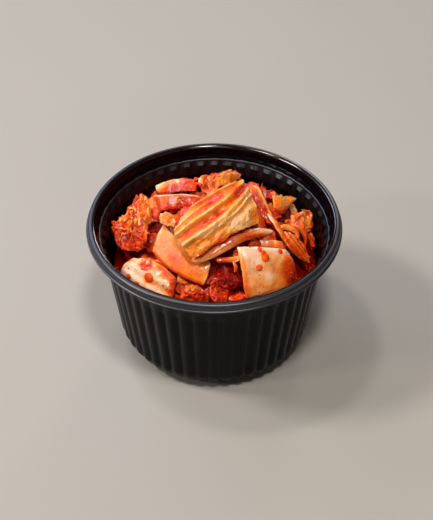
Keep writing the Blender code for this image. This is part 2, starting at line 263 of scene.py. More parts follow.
def rounded(corner_points, radius, steps=4):
    """The same path with each inner corner rounded to a small radius."""
    path = [corner_points[0]]
    for before, corner, after in zip(corner_points, corner_points[1:], corner_points[2:]):
        corner = np.array(corner)
        back = np.array(before) - corner
        ahead = np.array(after) - corner
        reach_back = min(radius, 0.45 * np.linalg.norm(back))
        reach_ahead = min(radius, 0.45 * np.linalg.norm(ahead))
        start = corner + back / np.linalg.norm(back) * reach_back
        end = corner + ahead / np.linalg.norm(ahead) * reach_ahead
        for t in np.linspace(0.0, 1.0, steps):
            path.append(tuple((1 - t) ** 2 * start + 2 * t * (1 - t) * corner + t * t * end))
    path.append(corner_points[-1])
    return path


def rim_part(radius, z):
    """The finish at a point of the rim: polished at its inner edge, dark below it, or satin."""
    if radius < CREST_RADIUS and z > RIM - 1.3:
        return "edge"
    return "band" if radius < CREST_RADIUS and z > SEAT + 0.7 else "flange"


# The profile, (radius, z), runs from the middle of the inside up the wall, over the rim, and
# down the outside to the middle of the foot. Under the seat the teeth set the radius.
inside = [(0.0, FLOOR_TOP), (FOOT_RADIUS - 1.5, FLOOR_TOP)]
inside += [(inner_radius(z), z) for z in (2.6, 3.6, 5.0, 7.0, 9.5, 12.5)]
inside += [(inner_radius(z), z) for z in np.linspace(16.0, INSIDE_TOP, 10)]
under_seat = [(None, z) for z in (55.5, 57.0, 58.4, *np.linspace(59.4, TEETH_TOP, 13))]
rim = rounded([
    (LIP_RADIUS, SEAT - 0.85), (LIP_RADIUS, SEAT - 0.5), (53.6, SEAT), (54.9, SEAT + 0.05),
    (55.05, SEAT + 0.6), (55.3, RIM - 2.4), (55.9, RIM - 0.55), (56.4, RIM - 0.08),
    (57.6, RIM), (58.7, RIM - 0.3), (59.2, RIM - 1.1), (59.35, FLANGE + 0.25),
    (59.95, FLANGE + 0.1), (60.0, FLANGE - 0.5), (59.6, FLANGE - 0.7),
    (WALL_TOP + 0.35, FLANGE - 0.8), (WALL_TOP + 0.05, FLANGE - 1.3)], 0.5)
outside = [(outer_radius(z), z) for z in (*np.linspace(63.6, 50.0, 12), *np.linspace(46.0, BOTTOM_ROUND, 9))]
outside += [(outer_radius(z), z) for z in (9.0, 7.0, 5.2, 3.8, 2.6, 1.6, 0.9, 0.4)]
foot = rounded([(FOOT_RADIUS, 0.0), (30.0, 0.0), (29.2, FOOT_RECESS), (0.0, FOOT_RECESS)], 0.3)
profile = inside + under_seat + rim + outside + foot
parts = ["in"] * len(inside) + ["seat"] * len(under_seat) + [rim_part(*place) for place in rim]
parts += ["out"] * len(outside) + ["foot"] * len(foot)

# %% Bowl mesh
# Between two creases the ledge of teeth rises at 45 degrees from TEETH_FOOT; over a crease it
# starts CREASE_RUN lower and climbs slowly, which parts one tooth from the next.
CREASE_RUN = 4.0
NECK_SLOPE = 0.05
STEPS = FLUTES * 10
turn = np.arange(STEPS) * 2.0 * math.pi / STEPS
crease = 1.0 - np.abs(np.cos(0.5 * FLUTES * (turn + 0.5 * math.pi)))
rings = []
for (radius, z), part in zip(profile, parts):
    depth = crease_depth(z) * crease
    if part in ("in", "out"):
        radius = radius - depth
    if part == "seat":
        start = TEETH_FOOT - CREASE_RUN * ease(0.25, 0.7, crease)
        line = inner_radius(INSIDE_TOP) + (z - INSIDE_TOP) * NECK_SLOPE - depth
        flare = np.clip((z - start) / (TEETH_TOP - start), 0.0, 1.0)
        radius = line + (LIP_RADIUS - line) * flare
    radius = radius + 0.0 * turn
    rings.append(np.stack([radius * np.cos(turn), radius * np.sin(turn), z + 0.0 * turn], axis=1))
shell = np.array(rings[1:-1])
points = np.vstack([shell.reshape(-1, 3), [[0.0, 0.0, FLOOR_TOP], [0.0, 0.0, FOOT_RECESS]]])
faces = closed_faces(len(shell), STEPS)

# %% [markdown]
# Black polypropylene: the pigment leaves no colour, so all that the eye gets is gloss, and
# the gloss differs with how each part was formed. The drawn wall is dark with faint streaks,
# the inner edge of the rim is polished and catches thin bright lines, and the ledge of teeth
# and the flange are satin. The flange is also given lighter bluish-grey shades: a painted
# sheen, standing in for the cool sheets that it mirrors. One recipe makes all four from a
# gloss level, a roughness and a pair of shades.

# %% Bowl materials
def polypropylene(name, gloss, least_rough, most_rough, shades=("#030204", "#060508")):
    """Black polypropylene with a given gloss level, range of roughness and pair of shades; a lighter pair
    paints a sheen.
    """
    material, tree = new_material(name)
    where = add(tree, "ShaderNodeTexCoord")
    place = where.outputs["Object"]
    haze = add(tree, "ShaderNodeTexNoise", {"Vector": place, "Scale": 90.0, "Detail": 4.0})
    drawn = add(tree, "ShaderNodeTexNoise", {"Vector": place, "Scale": 500.0, "Detail": 2.0})
    shade = add(tree, "ShaderNodeValToRGB", {"Fac": haze.outputs["Fac"]}, stops=[
        (0.3, shades[0]), (0.7, shades[1])])
    rough = add(tree, "ShaderNodeMapRange", {
        "Value": haze.outputs["Fac"], "From Min": 0.3, "From Max": 0.7,
        "To Min": least_rough, "To Max": most_rough})
    bump = add(tree, "ShaderNodeBump", {
        "Height": drawn.outputs["Fac"], "Strength": 0.05, "Distance": 0.0003})
    surface = add(tree, "ShaderNodeBsdfPrincipled", {
        "Base Color": shade.outputs["Color"], "Roughness": rough.outputs["Result"],
        "Normal": bump.outputs["Normal"], "IOR": 1.49, "Specular IOR Level": gloss})
    add(tree, "ShaderNodeOutputMaterial", {"Surface": surface.outputs["BSDF"]})
    return material


wall_plastic = polypropylene("black_polypropylene_drawn_wall", 0.09, 0.2, 0.3)
edge_plastic = polypropylene("black_polypropylene_polished_edge", 1.0, 0.1, 0.14)
satin_plastic = polypropylene("black_polypropylene_satin_scallops", 0.42, 0.36, 0.44)
# The flange's lighter bluish-grey shades are a painted sheen: the cool sheets it mirrors, painted into its
# colour.
flange_plastic_with_painted_sheen = polypropylene("black_polypropylene_satin_flange_painted_sheen", 0.7, 0.34, 0.42, ("#14141c", "#1a1a24"))
FINISH_OF = {"edge": 1, "seat": 2, "flange": 3}
bowl = make_object("fluted_bowl", points, faces, wall_plastic)
for plastic in (edge_plastic, satin_plastic, flange_plastic_with_painted_sheen):
    bowl.data.materials.append(plastic)
finish = np.zeros(len(faces), dtype=np.int32)
for ring, part in enumerate(parts[1:-2]):
    finish[ring * STEPS:(ring + 1) * STEPS] = FINISH_OF.get(part, 0)
bowl.data.polygons.foreach_set("material_index", finish)
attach(bowl, "root")
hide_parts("bowl")
print("bowl:", len(points), "points,", len(faces), "faces")

# %% [markdown]
# ## Kimchi materials
# Salted, fermented napa cabbage is soaked through: its flesh lets light in, and its colour
# runs from pale cream on the thick ribs through orange to red where chili paste has soaked
# in. Every cut piece carries two numbers on its points: `ripe`, how far along that run its
# flesh has gone, and `sauce`, how much paste lies on it. One recipe reads both, so that ribs
# and leaves differ only in their colour run, their fibres and how deep light goes. Its
# noises are scaled in millimetres: fibres 7 mm long and 0.7 mm wide, paste grains of 0.9 mm,
# and flecks of chili under half a millimetre. A clear coat over the flesh is the brine.

# %% Cabbage material
def cabbage(name, stops, depth, coat_roughness, fibre, skin_relief):
    """Wet cabbage: stained translucent flesh, chili paste on it, brine over all."""
    material, tree = new_material(name)
    where = add(tree, "ShaderNodeTexCoord")
    spot = add(tree, "ShaderNodeVectorMath", {0: where.outputs["Object"], 1: (1.0 / MM,) * 3},
               operation="MULTIPLY")
    place = spot.outputs["Vector"]
    flat = add(tree, "ShaderNodeUVMap", uv_map="flat")
    grain_run = add(tree, "ShaderNodeMapping", {"Vector": flat.outputs["UV"], "Scale": (0.14, 1.5, 1.0)})
    fibres = add(tree, "ShaderNodeTexNoise", {
        "Vector": grain_run.outputs["Vector"], "Scale": 1.0, "Detail": 3.0})
    blotch = add(tree, "ShaderNodeTexNoise", {
        "Vector": place, "Scale": 0.34, "Detail": 3.0, "Roughness": 0.6})
    grain = add(tree, "ShaderNodeTexNoise", {
        "Vector": place, "Scale": 1.1, "Detail": 3.0, "Roughness": 0.65})
    ripe = add(tree, "ShaderNodeAttribute", attribute_name="ripe")
    sauce = add(tree, "ShaderNodeAttribute", attribute_name="sauce")
    streak = add(tree, "ShaderNodeMath", {0: fibres.outputs["Fac"], 1: fibre, 2: -0.5 * fibre},
                 operation="MULTIPLY_ADD")
    mottle = add(tree, "ShaderNodeMath", {0: blotch.outputs["Fac"], 1: 0.3, 2: -0.15},
                 operation="MULTIPLY_ADD")
    shift = add(tree, "ShaderNodeMath", {0: streak.outputs[0], 1: mottle.outputs[0]}, operation="ADD")
    tone = add(tree, "ShaderNodeMath", {0: ripe.outputs["Fac"], 1: shift.outputs[0]}, operation="ADD")
    flesh = add(tree, "ShaderNodeValToRGB", {"Fac": tone.outputs[0]}, stops=stops)
    lay = add(tree, "ShaderNodeMath", {0: grain.outputs["Fac"], 1: 1.3, 2: -0.65}, operation="MULTIPLY_ADD")
    laid = add(tree, "ShaderNodeMath", {0: sauce.outputs["Fac"], 1: lay.outputs[0]}, operation="ADD")
    mask = add(tree, "ShaderNodeMapRange", {"Value": laid.outputs[0], "From Min": 0.3, "From Max": 0.62})
    paste = add(tree, "ShaderNodeValToRGB", {"Fac": grain.outputs["Fac"]}, stops=[
        (0.34, "#8c0a02"), (0.45, "#bc1a03"), (0.55, "#d63804"), (0.66, "#ea660e")])
    cover = add(tree, "ShaderNodeMix", {
        0: mask.outputs["Result"], 6: flesh.outputs["Color"], 7: paste.outputs["Color"]}, data_type="RGBA")
    fleck = add(tree, "ShaderNodeTexVoronoi", {"Vector": place, "Scale": 0.62})
    chosen = add(tree, "ShaderNodeSeparateColor", {"Color": fleck.outputs["Color"]})
    few = add(tree, "ShaderNodeMath", {0: chosen.outputs["Red"], 1: 0.72}, operation="GREATER_THAN")
    near = add(tree, "ShaderNodeMapRange", {
        "Value": fleck.outputs["Distance"], "From Min": 0.1, "From Max": 0.17, "To Min": 0.8, "To Max": 0.0})
    dot = add(tree, "ShaderNodeMath", {0: few.outputs[0], 1: near.outputs["Result"]}, operation="MULTIPLY")
    dotted = add(tree, "ShaderNodeMix", {0: dot.outputs[0], 6: cover.outputs[2], 7: linear("#7a1406")},
                 data_type="RGBA")
    skin = add(tree, "ShaderNodeTexNoise", {
        "Vector": place, "Scale": 0.7, "Detail": 2.0, "Roughness": 0.6})
    relief = add(tree, "ShaderNodeBump", {
        "Height": skin.outputs["Fac"], "Strength": 0.9, "Distance": skin_relief * MM})
    brine = add(tree, "ShaderNodeTexNoise", {
        "Vector": place, "Scale": 1.1, "Detail": 1.5, "Roughness": 0.5})
    film = add(tree, "ShaderNodeBump", {
        "Height": brine.outputs["Fac"], "Strength": 0.8, "Distance": 0.75 * skin_relief * MM})
    rough = add(tree, "ShaderNodeMapRange", {"Value": mask.outputs["Result"], "To Min": 0.34, "To Max": 0.46})
    surface = add(tree, "ShaderNodeBsdfPrincipled", {
        "Base Color": dotted.outputs[2], "Roughness": rough.outputs["Result"], "IOR": 1.36,
        "Specular IOR Level": 0.15, "Normal": relief.outputs["Normal"], "Coat Normal": film.outputs["Normal"],
        "Subsurface Weight": 0.8, "Subsurface Radius": (1.0, 0.42, 0.16), "Subsurface Scale": depth * MM,
        "Coat Weight": 1.0, "Coat Roughness": coat_roughness, "Coat IOR": 1.45})
    add(tree, "ShaderNodeOutputMaterial", {"Surface": surface.outputs["BSDF"]})
    return material


leaf = cabbage("napa_leaf_fermented_in_chili", [
    (0.0, "#e4ae7c"), (0.2, "#e49636"), (0.4, "#e07818"),
    (0.6, "#d44e0c"), (0.8, "#bc2a06"), (1.0, "#800a04")],
    depth=0.5, coat_roughness=0.05, fibre=0.3, skin_relief=0.5)
stem = cabbage("napa_rib_fermented_in_chili", [
    (0.0, "#ecc4aa"), (0.2, "#e4a166"), (0.4, "#e07c2c"),
    (0.6, "#d25012"), (0.8, "#b42a08"), (1.0, "#780a03")],
    depth=1.1, coat_roughness=0.05, fibre=0.14, skin_relief=0.3)

# %% [markdown]
# Chili comes in three more forms: a paste thinned with brine that fills the bowl, crushed
# dried flakes, and oil drops that it has stained. They share one recipe, a colour run over
# a grain of a given size, under a coat that is thin on the paste and full on the drops.


# %% Sauce, chili and oil materials
def chili(name, stops, depth, scale, coat):
    """Wet chili in some form: one colour run over a grain of the given size in millimetres."""
    material, tree = new_material(name)
    where = add(tree, "ShaderNodeTexCoord")
    spot = add(tree, "ShaderNodeVectorMath", {0: where.outputs["Object"], 1: (1.0 / MM,) * 3},
               operation="MULTIPLY")
    grain = add(tree, "ShaderNodeTexNoise", {
        "Vector": spot.outputs["Vector"], "Scale": 1.0 / scale, "Detail": 4.0, "Roughness": 0.6})
    colour = add(tree, "ShaderNodeValToRGB", {"Fac": grain.outputs["Fac"]}, stops=stops)
    relief = add(tree, "ShaderNodeBump", {
        "Height": grain.outputs["Fac"], "Strength": 0.4, "Distance": 0.0006})
    surface = add(tree, "ShaderNodeBsdfPrincipled", {
        "Base Color": colour.outputs["Color"], "Roughness": 0.35, "IOR": 1.36,
        "Specular IOR Level": 0.15, "Normal": relief.outputs["Normal"],
        "Subsurface Weight": 0.6, "Subsurface Radius": (1.0, 0.25, 0.08), "Subsurface Scale": depth * MM,
        "Coat Weight": coat, "Coat Roughness": 0.07, "Coat IOR": 1.42})
    add(tree, "ShaderNodeOutputMaterial", {"Surface": surface.outputs["BSDF"]})
    return material


sauce = chili("chili_paste_in_brine", [
    (0.3, "#500301"), (0.5, "#780801"), (0.62, "#921002"), (0.74, "#b02806")],
    depth=1.2, scale=1.1, coat=0.35)
flake = chili("crushed_dried_chili", [
    (0.3, "#8a0d05"), (0.45, "#b81c08"), (0.58, "#dc460e"), (0.7, "#f07c30")],
    depth=0.4, scale=1.3, coat=0.9)
oil = chili("chili_oil_drop", [
    (0.3, "#c82c04"), (0.5, "#dc4808"), (0.7, "#ec6c18")], depth=0.6, scale=2.0, coat=1.0)

# %% [markdown]
# ## Cut pieces
# A piece of cabbage is a bent strip: a few stations give its middle line and half its width.
# A modifier stack of Solidify and Displace could thicken and roughen a flat strip, but it
# would wrinkle every piece the same way. Here each point is worked out: the strip is bowed,
# ribs are raised along it, fine crumple is added, its outline is made ragged, and both faces
# meet in one shared border, so the piece is closed and thins to its edge as a real cut does.

# %% Smooth random relief
def noise(points, size, seed):
    """Random relief from -1 to 1 with hills about `size` across; the same for the same seed."""
    spots = np.asarray(points, float) / size + 7.31 * seed
    low = np.floor(spots).astype(np.int64)
    part = spots - low
    eased = part * part * (3.0 - 2.0 * part)
    total = np.zeros(spots.shape[:-1])
    for corner in range(8):
        step = np.array([corner & 1, corner >> 1 & 1, corner >> 2 & 1])
        spot = low + step
        key = spot[..., 0] * 73856093 ^ spot[..., 1] * 19349663 ^ spot[..., 2] * 83492791 ^ (seed * 7919)
        key = (key ^ key >> 13) * 1274126177 & 0x7FFFFFFF
        total += (key / 0x3FFFFFFF - 1.0) * np.prod(np.where(step, eased, 1.0 - eased), axis=-1)
    return total


def rough_noise(points, size, seed, octaves=3):
    """Noise with finer noise on top of it."""
    return sum(noise(points, size / 2 ** k, seed + k) * 0.55 ** k for k in range(octaves)) * 0.75


# %% Strip through its stations
def along(stations, u):
    """Middle, half-width and direction of a strip at each u from 0 to 1, as in the CAD."""
    knots = np.array([[*middle, *half] for middle, half in stations], float)
    spans = len(knots) - 1
    inside_u = np.clip(u, 0.0, 1.0)
    first = np.clip((inside_u * spans).astype(int), 0, spans - 1)
    t = (inside_u * spans - first)[..., None]
    a, b, c, d = (knots[np.clip(first + step, 0, spans)] for step in (-1, 0, 1, 2))
    rise_in = (c - a) * np.where(first > 0, 0.5, 1.0)[..., None]
    rise_out = (d - b) * np.where(first < spans - 1, 0.5, 1.0)[..., None]
    bent = b * (2 * t**3 - 3 * t**2 + 1) + rise_in * (t**3 - 2 * t**2 + t)
    bent += c * (3 * t**2 - 2 * t**3) + rise_out * (t**3 - t**2)
    slope = b * (6 * t**2 - 6 * t) + rise_in * (3 * t**2 - 4 * t + 1)
    slope += c * (6 * t - 6 * t**2) + rise_out * (3 * t**2 - 2 * t)
    bent += slope * ((u - inside_u) * spans)[..., None]
    return bent[..., :3], bent[..., 3:], slope[..., :3] * spans


# %% Grid, ribs, stains and faces of a piece
def rounded_grid(cells, corner):
    """A square grid from -1 to 1, closer towards its border, and the same with round corners."""
    lines = []
    for steps, bunching in zip(cells, (0.4, 0.5)):
        line = np.linspace(-1.0, 1.0, steps + 1)
        lines.append((1.0 - bunching) * line + bunching * np.sin(0.5 * math.pi * line))
    a, b = np.meshgrid(*lines, indexing="ij")
    return a, b, a * np.sqrt(1.0 - 0.5 * corner * b * b), b * np.sqrt(1.0 - 0.5 * corner * a * a)


def rib_lift(ribs, u, v, length, wander, seed):
    """How far soft ridges that run along a strip, each wandering a little, raise it."""
    lift = np.zeros(u.shape)
    share = 0.5 * (u + 1.0)
    for k, (from_v, to_v, width, from_height, to_height, *sag) in enumerate(ribs):
        bend = from_v + (to_v - from_v) * share + 4.0 * share * (1.0 - share) * sum(sag)
        bend = bend + wander * noise(np.stack([u * length / 14.0, 0 * u + k, 0 * u], -1), 1.0, seed + 3 * k)
        high = from_height + (to_height - from_height) * share
        lift = lift + high * np.exp(-((v - bend) / width) ** 2)
    return lift


def sheet_faces(rows, columns, turned):
    """Faces of a closed sheet: an upper grid of points, and a lower one that shares its border."""
    upper = np.arange(rows * columns).reshape(rows, columns)
    lower = upper.copy()
    lower[1:-1, 1:-1] = upper.size + np.arange((rows - 2) * (columns - 2)).reshape(rows - 2, columns - 2)
    sides = []
    for n, backwards in ((upper, turned), (lower, not turned)):
        quads = np.stack([n[:-1, :-1], n[1:, :-1], n[1:, 1:], n[:-1, 1:]], -1).reshape(-1, 4)
        sides.append(quads[:, ::-1] if backwards else quads)
    return np.concatenate(sides)


def both(upper, lower):
    """Values of the upper points, then of the lower points inside the shared border."""
    lower = lower[1:-1, 1:-1]
    rows, columns = upper.shape[:2]
    return np.concatenate([
        upper.reshape(rows * columns, -1), lower.reshape((rows - 2) * (columns - 2), -1)])


# %% One cut piece
# Sizes of a piece's relief, in millimetres.
WRINKLE = 7.0
FINE_WRINKLE = 2.2
FRILL_WAVE = 5.2
GRIT = 1.1


def cut_piece(stations, thick, bow=0.0, ribs=(), crumple=0.7, frill=0.0, ragged=0.05, corner=0.5, boxy=3.0,
              cells=(96, 48), seed=1, ripe=(0.5, 0.0, 0.0), groove=0.35, sauce=(0.2, 0.0, 0.0),
              paste=0.45, spots=(), wander=0.08, pale_edge=0.25, uneven=0.22, pulp=0.35):
    """Points, faces and values of one cut piece, in millimetres.

    ribs: (v at the start, v at the end, width, height at the start and end, sideways bend).
    ripe and sauce: value at the middle, and its change towards u = 1 and v = 1.
    spots: (u, v, reach along and across in millimetres, ripe change, sauce change).
    """
    a, b, u, v = rounded_grid(cells, corner)
    edge = np.maximum(np.abs(a), np.abs(b)) ** 6
    middle, half, run = along(stations, 0.5 * (u + 1.0))
    start = middle + half * v[..., None]
    u = u + ragged * edge * rough_noise(start, 5.0, seed + 11)
    v = v + 2.2 * ragged * edge * rough_noise(start, 4.0, seed + 12)
    middle, half, run = along(stations, 0.5 * (u + 1.0))
    spread = np.linalg.norm(half, axis=-1)
    length = np.linalg.norm(run, axis=-1).mean()
    start = middle + half * v[..., None]
    up = np.cross(run, half)
    up /= np.linalg.norm(up, axis=-1)[..., None]
    flip = 1.0 if up[..., 2].sum() > 0.0 else -1.0
    up *= flip
    lift = rib_lift(ribs, u, v, length, wander, seed)
    wrinkle = rough_noise(start, WRINKLE, seed + 5)
    fine = rough_noise(start, FINE_WRINKLE, seed + 6)
    wave = frill * np.abs(v) ** 4 * np.sin(u * length / FRILL_WAVE + 2.0 * noise(start, 9.0, seed + 7))
    rise = bow * (1.0 - v * v) + lift + crumple * (wrinkle + pulp * fine) + wave
    body = thick * np.sqrt(np.clip((1.0 - np.abs(a) ** boxy) * (1.0 - np.abs(b) ** boxy), 0.0, 1.0))
    body = body * (1.0 + 0.18 * noise(start, 6.0, seed + 8))
    rib_share = lift / (lift.max() + 1e-6) if ribs else 0.5 * np.ones(u.shape)
    tone = ripe[0] + ripe[1] * u + ripe[2] * v + groove * (0.5 - rib_share)
    tone = tone + uneven * rough_noise(start, 5.5, seed + 9) - pale_edge * edge
    cover = sauce[0] + sauce[1] * u + sauce[2] * v + 0.8 * groove * (0.35 - rib_share)
    cover = cover + paste * rough_noise(start, 6.5, seed + 10) - 0.5 * pale_edge * edge
    for at_u, at_v, reach_u, reach_v, more_ripe, more_sauce in spots:
        off_u = (u - at_u) * 0.5 * length / reach_u
        off_v = (v - at_v) * spread / reach_v
        fall = np.exp(-(off_u ** 2 + off_v ** 2) ** 1.5)
        tone = tone + more_ripe * fall
        cover = cover + more_sauce * fall
    grit = np.maximum(0.0, rough_noise(start, GRIT, seed + 13)) * 0.9
    paste_lift = ease(0.35, 0.75, cover) * (1.0 - edge) * (0.12 + grit)
    centre = start + up * rise[..., None]
    points = both(centre + up * (0.5 * body + paste_lift)[..., None], centre - up * (0.5 * body)[..., None])
    points[:, 2] += RIM
    flat = np.stack([0.5 * u * length, v * spread], -1)
    tone = np.clip(tone, 0.0, 1.0)
    cover = np.clip(cover, 0.0, 1.2)
    return {"points": points, "faces": sheet_faces(*u.shape, flip < 0.0), "flat": both(flat, flat),
            "u": u.ravel(), "v": v.ravel(), "row": u.shape[1],
            "ripe": both(tone, tone), "sauce": both(cover, cover)}


def place_piece(name, cut, material, node=None):
    """Make a cut piece an object that rides on the bowl and, if named, stands for a CAD solid."""
    values = {"ripe": cut["ripe"], "sauce": cut["sauce"]}
    obj = make_object(name, cut["points"], cut["faces"].tolist(), material, values, cut["flat"])
    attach(obj, "root")
    if node:
        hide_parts(node)
    return obj

# %% [markdown]
# The fifteen large pieces. Each line of stations runs from one end of the piece to the
# other: the middle of the strip, then the vector to one of its edges, in millimetres from
# the middle of the rim. They are the stations of the piece's CAD solid, so the piece lies
# where that does. Smooth cuts have thick flesh and little crumple; torn ones have ribs,
# frill and pulp.

